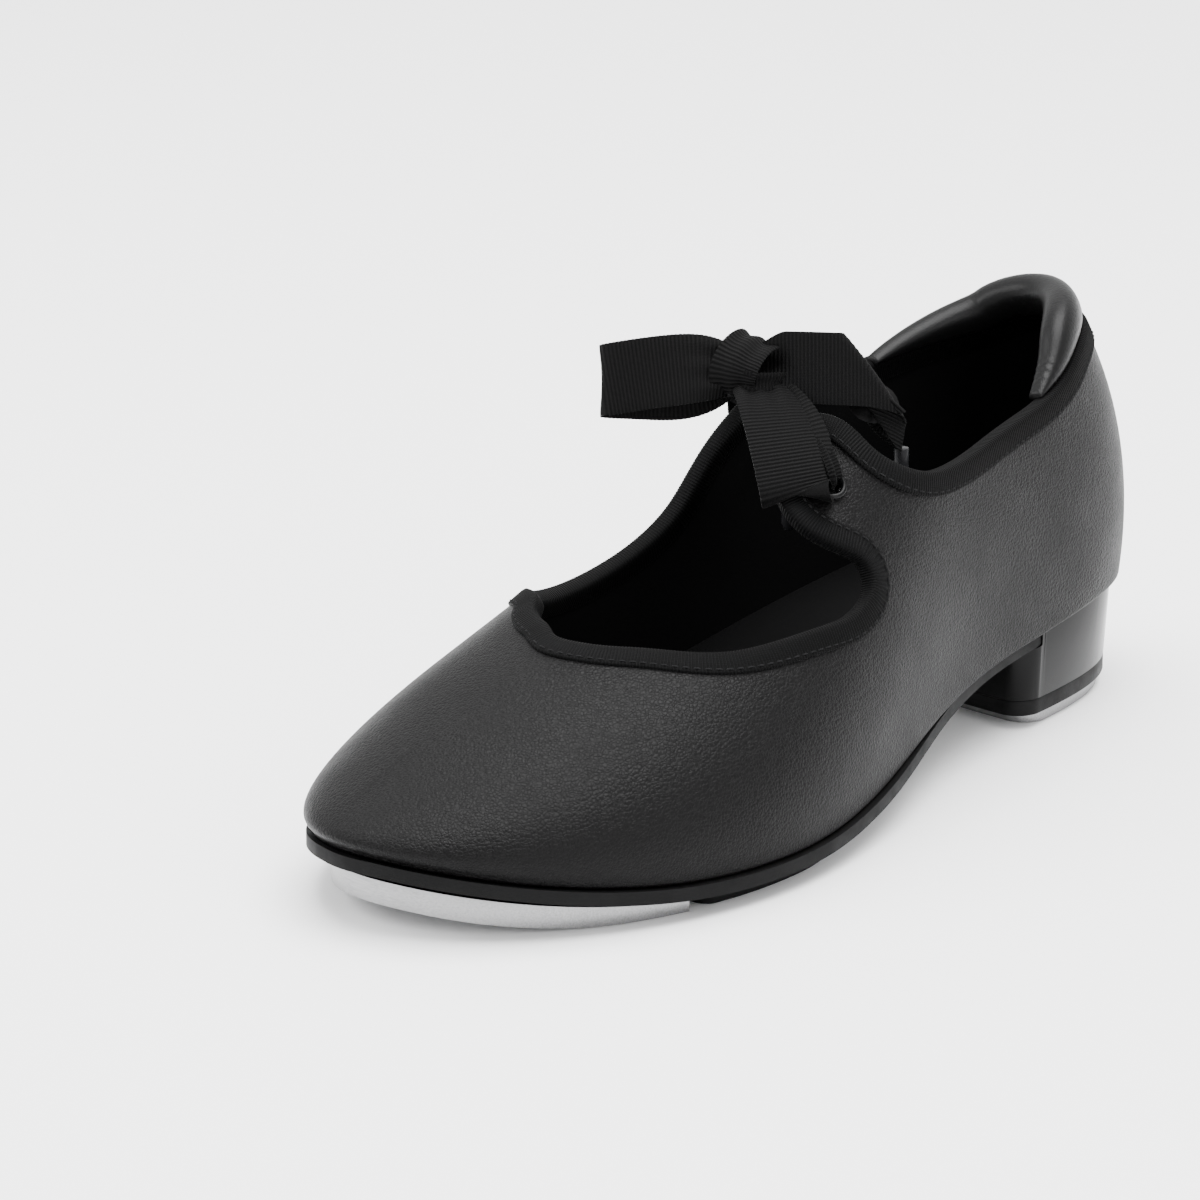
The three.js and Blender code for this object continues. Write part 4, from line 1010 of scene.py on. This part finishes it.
def cylinder_piece(name, x, y, low, high, radius, low_radius=None):
    """A round bar or cone standing along z, in layout millimetres."""
    deselect_all()
    place = seat((x, y, (low + high) / 2))
    foot = radius if low_radius is None else low_radius
    bpy.ops.mesh.primitive_cone_add(vertices=SCREW_SIDES, radius1=foot / 1000, radius2=radius / 1000,
                                    depth=(high - low) / 1000, location=tuple(place))
    piece = bpy.context.active_object
    piece.name = piece.data.name = name
    bpy.ops.object.transform_apply(location=True, rotation=True, scale=True)
    return piece


def cut_away(piece, tool):
    make_active(piece)
    boolean = piece.modifiers.new("cut", "BOOLEAN")
    boolean.operation = "DIFFERENCE"
    boolean.solver = "EXACT"
    boolean.object = tool
    bpy.ops.object.modifier_apply(modifier="cut")
    bpy.data.objects.remove(tool, do_unlink=True)


def countersink(piece, x, y, head):
    wide = SCREW_HEAD_RADIUS + SCREW_CLEARANCE
    bore = SCREW_SHANK_RADIUS + SCREW_CLEARANCE
    cut_away(piece, cylinder_piece("sink_mouth", x, y, head - 6, head + 0.001, wide))
    cut_away(piece, cylinder_piece("sink_cone", x, y, head, head + SCREW_HEAD_HEIGHT, bore, wide))
    cut_away(piece, cylinder_piece("sink_hole", x, y, head + 1, head + 14, bore))


def screw_piece(name, node, x, y, head):
    """A countersunk screw with a cross recess in its face, head down."""
    piece = cylinder_piece(name, x, y, head, head + SCREW_HEAD_HEIGHT, SCREW_SHANK_RADIUS, SCREW_HEAD_RADIUS)
    place = seat((x, y, head))
    for turn in (0.4, 0.4 + math.pi / 2):
        deselect_all()
        bpy.ops.mesh.primitive_cube_add(size=0.001, location=tuple(place), rotation=(0, 0, turn), scale=RECESS)
        cut_away(piece, bpy.context.active_object)
    shank = cylinder_piece("screw_shank", x, y, head + SCREW_HEAD_HEIGHT - 0.01, head + 5.5, SCREW_SHANK_RADIUS)
    make_active(piece)
    shank.select_set(True)
    bpy.ops.object.join()
    soften_edges(piece, 0.1, 1, 40)
    finish_piece(piece, STEEL, [node], 35)


def screw_on(tap, end, screws, head):
    """Countersinks a tap, finishes it and adds its screws; head gives the height of a screw's face."""
    for x, y in screws:
        countersink(tap, x, y, head(y))
    finish_piece(tap, ALUMINIUM, [f"{end}_tap"], 35)
    for number, (x, y) in enumerate(screws, 1):
        screw_piece(f"{end}_screw_{number}", f"{end}_tap_screw_{number}", x, y, head(y))


def toe_head(y):
    return float(tap_bottom(y)) + SCREW_SINK + (0.5 if y < TAP_FLAT_START else 0)


toe_tap = plate_piece("aluminium_toe_tap", plate_net("toe", TOE_TAP_END, TAP_INSET, 70, 22),
                      lambda y: outsole_bottom(y) - 2 * GAP - TAP_BOARD_THICKNESS, tap_bottom, 0.45)
screw_on(toe_tap, "toe", TOE_SCREWS, toe_head)

# ---------------------------------------------------------------- heel
LIFT_TOP = HEEL_TAP_THICKNESS + GAP + HEEL_LIFT_THICKNESS
BLOCK_BOTTOM = LIFT_TOP + GAP / 2
SOLE_END = HEEL_BREAST + SOLE_TONGUE


def block_top(y):
    """The heel's seat: under the sole's tongue in front, against the upper behind it."""
    return np.where(y < SOLE_END + GAP, outsole_bottom(y) - GAP / 2, margin_bottom(y) - GAP / 2)


heel_steps = (SOLE_END + GAP / 2, SOLE_END + GAP + 0.05)
block = plate_piece(
    "heel_block_cover",
    plate_net(HEEL_BREAST + HEEL_TOP_INSET, "heel", HEEL_TOP_INSET, 80, 24, HEEL_CORNER_RADIUS, heel_steps),
    block_top, lambda y: BLOCK_BOTTOM, 0.35,
    plate_net(HEEL_BREAST + HEEL_FOOT_INSET, "heel", HEEL_FOOT_INSET, 80, 24, HEEL_CORNER_RADIUS), 2,
    crisp=(SOLE_END - 1, SOLE_END + 2))
finish_piece(block, HEEL_GLOSS, ["heel_block"], 50)

lift_net = plate_net(HEEL_BREAST + HEEL_FOOT_INSET, "heel", HEEL_FOOT_INSET, 70, 20, HEEL_CORNER_RADIUS)
lift = plate_piece("heel_lift", lift_net, lambda y: LIFT_TOP, lambda y: HEEL_TAP_THICKNESS + GAP / 2, 0.3, None, 2)
finish_piece(lift, LIFT_RUBBER, ["heel_top_lift"], 50)

heel_tap = plate_piece(
    "aluminium_heel_tap",
    plate_net(HEEL_BREAST + HEEL_FOOT_INSET + HEEL_TAP_SETBACK, "heel", HEEL_TAP_INSET, 70, 20, HEEL_CORNER_RADIUS),
    lambda y: HEEL_TAP_THICKNESS, lambda y: 0.0, 0.4)
screw_on(heel_tap, "heel", HEEL_SCREWS, lambda y: SCREW_SINK)

# ---------------------------------------------------------------- eyelets
EYELETS = [("outer", 0.2735, 57.5), ("inner", 1 - 0.284, 31)]
EYELET_SIDES = 48
EYELET_BORE = 2.65                # the hole through the leather and the lining
EYELET_PROFILE = [(2.35, -3.6), (2.0, -3.4), (2.0, 0.4), (2.12, 0.95), (2.5, 1.3), (3.0, 1.28), (3.4, 0.98),
                  (3.5, 0.55), (3.3, 0.25), (2.4, 0.2)]


def eyelet_place(t, up):
    centre = last(np.array([t]), np.array([math.radians(up)]))[0]
    axis = last_normal(np.array([t]), np.array([math.radians(up)]))[0]
    return centre, axis


def turned_piece(name, profile, centre, axis):
    """A ring turned from a closed profile of (radius, distance along the axis)."""
    side = unit(np.cross(axis, [0.0, 0.0, 1.0]))
    rise_way = np.cross(side, axis)
    sections = []
    for k in range(EYELET_SIDES):
        angle = 2 * math.pi * k / EYELET_SIDES
        out = side * math.cos(angle) + rise_way * math.sin(angle)
        sections.append([centre + out * r + axis * h for r, h in profile])
    return tube_of(name, sections, True)


def add_eyelets():
    for name, t, up in EYELETS:
        centre, axis = eyelet_place(t, up)
        for wall_piece in (upper, lining):
            deselect_all()
            bpy.ops.mesh.primitive_cylinder_add(vertices=32, radius=EYELET_BORE / 1000, depth=0.012,
                                                location=tuple(seat(centre)),
                                                rotation=Vector(axis).to_track_quat("Z", "Y").to_euler())
            cut_away(wall_piece, bpy.context.active_object)
        piece = turned_piece(f"eyelet_{name}_ring", EYELET_PROFILE, centre, axis)
        finish_piece(piece, ENAMEL, [f"eyelet_{name}"], 60)


add_eyelets()

# ---------------------------------------------------------------- the ribbon tie
KNOT_FROM_EYELET = [-26.9, 1.4, 21.4]
KNOT = eyelet_place(*EYELETS[0][1:])[0] + KNOT_FROM_EYELET
# the bow faces out over the outer side of the toe: its own directions across, up and out
BOW_ACROSS = np.array([0.744, 0.668, 0.0])
BOW_UP = np.array([-0.212, 0.237, 0.948])
BOW_OUT = np.array([0.633, -0.706, 0.318])
CLOTH = 0.45                     # thickness of the ribbon
RIB = 0.85
RIB_STEPS = 4
RIB_HEIGHT = 0.085
SCALLOP = 0.1                    # how far the selvedge waves in and out with the ribs
STRIP_COLUMNS = 14
sheet_length = 0.0


def in_bow(across, up, out):
    """A place, or an array of them, from the knot in the bow's own directions."""
    across, up, out = (np.asarray(v, float)[..., None] for v in (across, up, out))
    return KNOT + across * BOW_ACROSS + up * BOW_UP + out * BOW_OUT


def follow(points):
    """A smooth curve through control points, and how far along it each of its points lies."""
    p = np.asarray(points, float)
    s = np.linspace(0, 1, 2000)
    fine = np.stack([curve(p[:, c], s) for c in range(p.shape[1])], -1)
    return fine, run_along(fine[:, :3])


def joined_layers(points, uv):
    """Points, faces and runs of a stretch of ribbon, closed from its front layer and its back one."""
    ring = np.concatenate([points[0], points[1][:, ::-1]], 1)
    ring_uv = np.concatenate([uv[0], uv[1][:, ::-1]], 1)
    rows, columns = ring.shape[:2]
    faces = grid_faces(rows, columns, False, True)
    for base in (0, (rows - 1) * columns):
        for k in range(STRIP_COLUMNS):
            quad = [base + k, base + k + 1, base + columns - 2 - k, base + columns - 1 - k]
            faces.append(quad if base == 0 else quad[::-1])
    return ring.reshape(-1, 3), faces, ring_uv.reshape(-1, 2)


def rib_crown(ribs):
    """How far the ribs stand up from the ribbon's face."""
    return RIB_HEIGHT * np.abs(np.sin(math.pi * ribs)) ** 0.8


def strip(route, pleats=3, pleat_depth=1.1):
    """Points, faces and runs of one stretch of ribbon.

    Each place of the route is (across, up, out, width, face across, face up, face out, pleat): where the ribbon's
    middle goes, how wide it is there, which way it faces, and how deep its gathers are."""
    global sheet_length
    route = np.asarray(route, float)
    world = np.concatenate([np.array([in_bow(*p[:3]) for p in route]), route[:, 3:]], 1)
    fine, run = follow(world)
    length = run[-1]
    sheet_length += length
    rows = max(8, int(round(length / RIB * RIB_STEPS)))
    at = np.linspace(0, length, rows + 1)
    row = np.stack([np.interp(at, run, fine[:, c]) for c in range(fine.shape[1])], -1)
    middle, width, depth = row[:, :3], row[:, 3], row[:, 7]
    facing = unit(row[:, 4:5] * BOW_ACROSS + row[:, 5:6] * BOW_UP + row[:, 6:7] * BOW_OUT)
    ahead = unit(np.gradient(middle, axis=0))
    side = unit(np.cross(facing, ahead))
    out = unit(np.cross(ahead, side))
    ribs = at / RIB
    crown = rib_crown(ribs)
    b = np.linspace(-1, 1, STRIP_COLUMNS + 1)
    flat = 1 - 0.5 * np.abs(b) ** 12
    points, uv = [], []
    for layer in (1, -1):
        fold = np.cos(math.pi * pleats * b[None, :] + 0.6) * depth[:, None] * pleat_depth
        lift = fold + layer * (CLOTH / 2 * flat[None, :] + crown[:, None])
        wave = SCALLOP / np.maximum(width, 2)[:, None] * np.sin(2 * math.pi * ribs)[:, None]
        scallop = 1 + wave * (np.abs(b) > 0.99)
        spread = width[:, None] / 2 * b[None, :] * scallop
        points.append(middle[:, None] + side[:, None] * spread[..., None] + out[:, None] * lift[..., None])
        uv.append(np.stack([np.repeat(at[:, None], len(b), 1),
                            np.repeat(((b + 1) / 2 * RIBBON_WIDTH)[None, :], rows + 1, 0)], -1))
    return joined_layers(points, uv)


F = (0.0, 0.0, 1.0)              # facing straight out


def eyelet_points(index, stand_off):
    """In the bow's directions: a place in front of an eyelet, its mouth, a place behind it, and its axis."""
    _, t, up = EYELETS[index]
    centre, axis = eyelet_place(t, up)
    basis = np.stack([BOW_ACROSS, BOW_UP, BOW_OUT])
    places = [np.linalg.solve(basis.T, centre + axis * d - KNOT) for d in (stand_off, 1.5, -6)]
    return places, tuple(basis @ axis)


def outer_strap():
    """The gathered stretch from behind the front loop through the outer eyelet."""
    (over, into, through), way = eyelet_points(0, 3.4)
    across = (0.6, 0.3, 0.75)
    return [(1.0, -1.6, -1.6, 9, *F, 0.7), (7.5, -7.0, 1.6, 8.5, 0.3, 0.4, 0.85, 0.6),
            (14.6, -13.2, 6.6, 6, *across, 0.5), (18.0, -18.8, 11.2, 4.6, *across, 0.6), (*over, 4.2, *across, 0.8),
            (*into, 3.3, *across, 0.8), (*through, 3.3, *way, 0.8)]


def inner_strap():
    """The gathered stretch behind the knot, over the inner tab and through its eyelet from outside."""
    (over, into, through), way = eyelet_points(1, 5.0)
    across = (-0.3, 0.9, 0.2)
    return [(-1.0, -1.0, -3.0, 9, 0, 0.9, 0.3, 0.7), (-2.0, 1.0, -18, 9, *across, 0.5),
            (-1.2, 1.6, -34, 8, *across, 0.5), (0.2, -0.4, -47, 7, *across, 0.5),
            (-0.6, -4.4, -54, 5.5, -0.7, 0.5, -0.4, 0.7),
            (*over, 4.2, *way, 0.8), (*into, 3.3, 0, 1, 0, 0.8), (*through, 3.3, 0, 1, 0, 0.8)]


STRIPS = [
    # the loop towards the inner side: out along its front layer, over the fold and back behind
    dict(route=[(-0.5, -0.8, 2.0, 8.5, -0.6, 0.15, 1, 0.8), (-4.0, -0.3, 4.0, 12.5, -0.5, 0.15, 1, 0.45),
                (-9.5, 0.3, 5.0, 15.6, -0.2, 0.12, 1, 0.08), (-17, -0.4, 4.6, 16, 0, 0.06, 1, 0),
                (-24.5, -1.4, 3.4, 16, 0.08, 0, 1, 0), (-30.2, -2.3, 2.4, 16, 0.1, 0, 1, 0),
                (-32.2, -2.7, 1.0, 16, -1, 0, 0.1, 0), (-30.6, -3.0, -0.3, 16, -0.05, 0, -1, 0),
                (-23, -3.2, -1.0, 16, 0, 0.1, -1, 0), (-14, -3.8, -1.6, 16, 0, 0.15, -1, 0),
                (-7, -2.6, -1.4, 13, 0, 0.1, -1, 0.3), (-2, -1.0, -0.6, 8, 0, 0, -1, 0.7)], pleats=3),
    # the loop that hangs in front of the outer tab
    dict(route=[(1.6, -2.4, 3.2, 10, 0.35, -0.1, 1, 0.6), (4.2, -5.6, 7.6, 14.2, 0.4, 0.35, 0.9, 0.2),
                (5.9, -9.6, 11.0, 15.8, 0.4, 0.3, 0.9, 0.03), (7.9, -15.8, 14.2, 16, 0.36, 0.15, 0.95, 0),
                (9.6, -22.4, 16.2, 16, 0.3, 0.1, 1, 0), (10.7, -27.2, 17.0, 16, 0.26, 0, 1, 0),
                (11.2, -28.9, 16.0, 16, 0.2, -1, 0.2, 0), (12.0, -27.4, 14.6, 16, -0.3, 0, -1, 0),
                (12.4, -21.4, 13.2, 16, -0.3, -0.1, -1, 0), (11.2, -14.6, 10.2, 16, -0.36, -0.15, -1, 0),
                (7.2, -8.6, 6.6, 15, -0.3, -0.2, -1, 0.1), (2.8, -3.0, 1.0, 9, 0, 0, -1, 0.6)], pleats=3),
    # the tail that drops inside the shoe
    dict(route=[(-1.5, 1.5, -3.0, 9, 0, 0.3, -1, 0.6), (1.5, 2.0, -9.5, 14, 0, 0.8, -0.6, 0.1),
                (6.0, -3.0, -18, 14, 0.2, 0.6, 0.7, 0.1), (9.6, -12, -25, 9, 0.2, 0.4, 0.8, 0.5),
                (10.9, -19.6, -28.7, 2.9, 0.2, 0.3, 0.9, 0.8)], pleats=3),
    # the wrap of the knot, that comes over its top and slants down over its front
    dict(route=[(4.8, 3.6, -2.4, 9, 0.4, 0.5, -0.7, 0.5), (4.6, 6.6, 0.4, 9.5, 0.35, 0.9, 0.2, 0.4),
                (2.2, 6.4, 4.4, 10, 0.1, 0.7, 0.7, 0.28), (-0.9, 3.4, 6.8, 11, -0.25, 0.3, 0.95, 0.2),
                (-2.9, -0.8, 7.2, 11, -0.35, -0.1, 1, 0.18), (-2.9, -4.8, 5.8, 10, -0.2, -0.6, 0.8, 0.28),
                (-1.2, -7.2, 2.6, 9.5, 0, -1, 0.1, 0.5), (0.6, -5.6, -1.6, 9, 0.1, -0.6, -0.8, 0.5)], pleats=2),
    # the lower lobe: the wrap's end, that runs out to the outer side under the tail
    dict(route=[(-2.6, -2.6, 3.6, 8, -0.2, -0.3, 0.9, 0.5), (-0.6, -4.6, 6.8, 8.5, -0.05, -0.35, 1, 0.45),
                (3.0, -5.0, 7.4, 8, 0.2, -0.3, 1, 0.4), (6.4, -4.6, 5.4, 7.5, 0.5, -0.25, 0.9, 0.3),
                (9.0, -4.2, 1.6, 7, 0.8, -0.2, 0.5, 0.3), (10.0, -4.0, -1.4, 7, 0.9, -0.1, 0, 0.3)],
         pleats=2, pleat_depth=0.8),
    dict(route=outer_strap(), pleats=2, pleat_depth=0.7),
    dict(route=inner_strap(), pleats=2, pleat_depth=0.7),
    # the back of the outer tail, that gathers into its tip
    dict(route=[(30.6, -4.4, -0.9, 15, 0, 0, -1, 0), (28.6, -6.6, -2.6, 13, -0.2, -0.4, -0.9, 0.05),
                (28.6, -8.6, -5.6, 9, -0.3, -0.6, -0.5, 0.15), (31.6, -11.8, -9.4, 6, -0.1, -0.2, 0.9, 0.4),
                (35.4, -16.4, -12.8, 2.9, 0.6, 0.4, 0.6, 0.8)], pleats=3, pleat_depth=0.9),
]

FOLD_POINT = np.array([20.6, 8.1])       # where the outer tail's slanting fold leaves its top edge
FOLD_ALONG = np.array([0.634, -0.773])
FOLD_OUT = np.array([0.773, 0.634])
FOLD_RADIUS = 1.1
FOLD_FLAT = 5.0                          # how much of the folded layer shows behind
TAIL_LENGTH = 44
TAIL_SHOWN = 36                          # what the tail adds to the ribbon's flat length


def outer_tail():
    """The outer tail: it leaves the knot flat, then rolls back over a slanting fold."""
    global sheet_length
    a = np.arange(0, TAIL_LENGTH, RIB / RIB_STEPS)
    b = np.linspace(-1, 1, STRIP_COLUMNS + 1)
    width = RIBBON_WIDTH * (0.6 + 0.4 * smooth(0, 8, a))
    depth = 0.5 * smooth(8, 1, a)
    hollow = 3.4 * smooth(0, 2.5, a) * smooth(9.5, 3.5, a)
    points, uv = [], []
    crown = rib_crown(a / RIB)
    for layer in (1, -1):
        flat_a = np.repeat(a[:, None], len(b), 1)
        flat_b = width[:, None] / 2 * b[None, :]
        x = 1.5 + flat_a
        y = 0.4 + flat_b - 0.45 * smooth(4, 30, x) - 0.00025 * (x - 2) ** 2 * (1 - b[None, :])
        d = (x - FOLD_POINT[0]) * FOLD_OUT[0] + (y - FOLD_POINT[1]) * FOLD_OUT[1]
        along = (x - FOLD_POINT[0]) * FOLD_ALONG[0] + (y - FOLD_POINT[1]) * FOLD_ALONG[1]
        lift = layer * (CLOTH / 2 * (1 - 0.5 * np.abs(b[None, :]) ** 12) + crown[:, None])
        lift = lift + np.cos(math.pi * 3 * b[None, :] + 0.9) * depth[:, None]
        lift = lift + hollow[:, None] * (0.45 - np.exp(-((b[None, :] - 0.08) / 0.4) ** 2))
        angle = np.clip(d / FOLD_RADIUS, 0, math.pi)
        keep = np.minimum(np.maximum(d - math.pi * FOLD_RADIUS, 0), FOLD_FLAT)
        out_way = np.where(d < 0, d, (FOLD_RADIUS + lift) * np.sin(angle) - keep)
        bulge = 1.6 * smooth(2, 12, x) * smooth(34, 14, x)
        depth_way = np.where(d < 0, lift, (FOLD_RADIUS + lift) * np.cos(angle) - FOLD_RADIUS)
        px = FOLD_POINT[0] + FOLD_OUT[0] * out_way + FOLD_ALONG[0] * along
        py = FOLD_POINT[1] + FOLD_OUT[1] * out_way + FOLD_ALONG[1] * along
        droop = 0.02 * np.maximum(px - 26, 0) ** 2
        pz = 1.8 + bulge + depth_way - 0.0045 * np.maximum(px - 8, 0) ** 2
        points.append(in_bow(px, py - droop, pz))
        uv.append(np.stack([flat_a, np.repeat(((b + 1) / 2 * RIBBON_WIDTH)[None, :], len(a), 0)], -1))
    sheet_length += TAIL_SHOWN
    return joined_layers(points, uv)


AGLET_PLACES = [(22, 29, -20), (-6, 23, -28)]      # the tips' tops, from the knot
AGLET_FOOT = 0.7                 # how much of its width an aglet keeps at its foot


def add_aglets():
    """Stiff film tips rolled on the ribbon's ends, each narrowed at its foot."""
    tips = []
    for number, (x, y, z) in enumerate(AGLET_PLACES, 1):
        top = KNOT[2] + z - 0.4
        place = np.array([KNOT[0] + x, KNOT[1] + y, top])
        deselect_all()
        bpy.ops.mesh.primitive_cylinder_add(vertices=32, radius=AGLET_RADIUS / 1000, depth=AGLET_LENGTH / 1000,
                                            location=tuple(seat(place - [0, 0, AGLET_LENGTH / 2])))
        piece = bpy.context.active_object
        piece.name = piece.data.name = f"aglet_tip_{number}"
        bpy.ops.object.transform_apply(location=True, rotation=True, scale=True)
        bpy.ops.object.mode_set(mode="EDIT")
        bpy.ops.mesh.select_all(action="SELECT")
        low = seat(place)[2] - AGLET_LENGTH / 1000
        bpy.ops.mesh.bisect(plane_co=(0, 0, low + 0.0022), plane_no=(0, 0, 1))
        bpy.ops.object.mode_set(mode="OBJECT")
        middle = seat(place)
        for vertex in piece.data.vertices:
            if vertex.co.z < low + 0.001:
                vertex.co.x = middle[0] + (vertex.co.x - middle[0]) * AGLET_FOOT
                vertex.co.y = middle[1] + (vertex.co.y - middle[1]) * AGLET_FOOT
        soften_edges(piece, 0.25, 2, SHARP)
        finish_piece(piece, AGLET_FILM, [f"aglet_{number}"], 40)
        tips.append(piece)
    return tips


def add_ribbon():
    points, faces, uv = [], [], []
    total = 0
    parts = [strip(**spec) for spec in STRIPS] + [outer_tail()]
    for p, f, w in parts:
        points.append(p)
        uv.append(w)
        faces += [[i + total for i in face] for face in f]
        total += len(p)
    piece = mesh_piece("grosgrain_tie", np.concatenate(points), faces, np.concatenate(uv))
    finish_piece(piece, RIBBON, ["ribbon_tie"], 60)
    tips = add_aglets()


add_ribbon()

# ---------------------------------------------------------------- what stays as it is
CARRIED = {"toe_puff": BOARD, "heel_counter": BOARD, "insole_board": BOARD, "sole_filler": FOAM, "shank": STEEL,
           "shank_rivet_": STEEL, "heel_nail_": STEEL}
for node_name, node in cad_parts.items():
    for start, look in CARRIED.items():
        if node_name.startswith(start):
            for material_slot in node.material_slots:
                material_slot.material = look


# ---------------------------------------------------------------- floor and light
SKY_STRENGTH = 1.7


def add_floor():
    deselect_all()
    bpy.ops.mesh.primitive_plane_add(size=8, location=(0, 0, -0.0002))
    floor = bpy.context.active_object
    floor.name = "floor"
    floor.data.materials.append(new_look("floor_paper", (0.92, 0.92, 0.925), 0.55)[0])


def add_light(name, place, aim, size, power):
    data = bpy.data.lights.new(name, "AREA")
    data.shape = "RECTANGLE"
    data.size = size
    data.size_y = size
    data.energy = power
    light = bpy.data.objects.new(name, data)
    light.location = place
    light.rotation_euler = (Vector(place) - Vector(aim)).to_track_quat("Z", "Y").to_euler()
    bpy.context.collection.objects.link(light)


add_floor()
world = bpy.data.worlds.new("studio")
world.use_nodes = True
world.node_tree.nodes["Background"].inputs["Color"].default_value = (1, 1, 1, 1)
world.node_tree.nodes["Background"].inputs["Strength"].default_value = SKY_STRENGTH
bpy.context.scene.world = world
add_light("overhead", (0.1, 0.1, 1.5), (0, 0, 0), 1.4, 85)
add_light("window", (-1.0, -1.0, 1.0), (0, 0, 0.03), 0.9, 22)
add_light("fill", (1.5, -0.4, 0.7), (0, 0, 0.03), 0.8, 10)
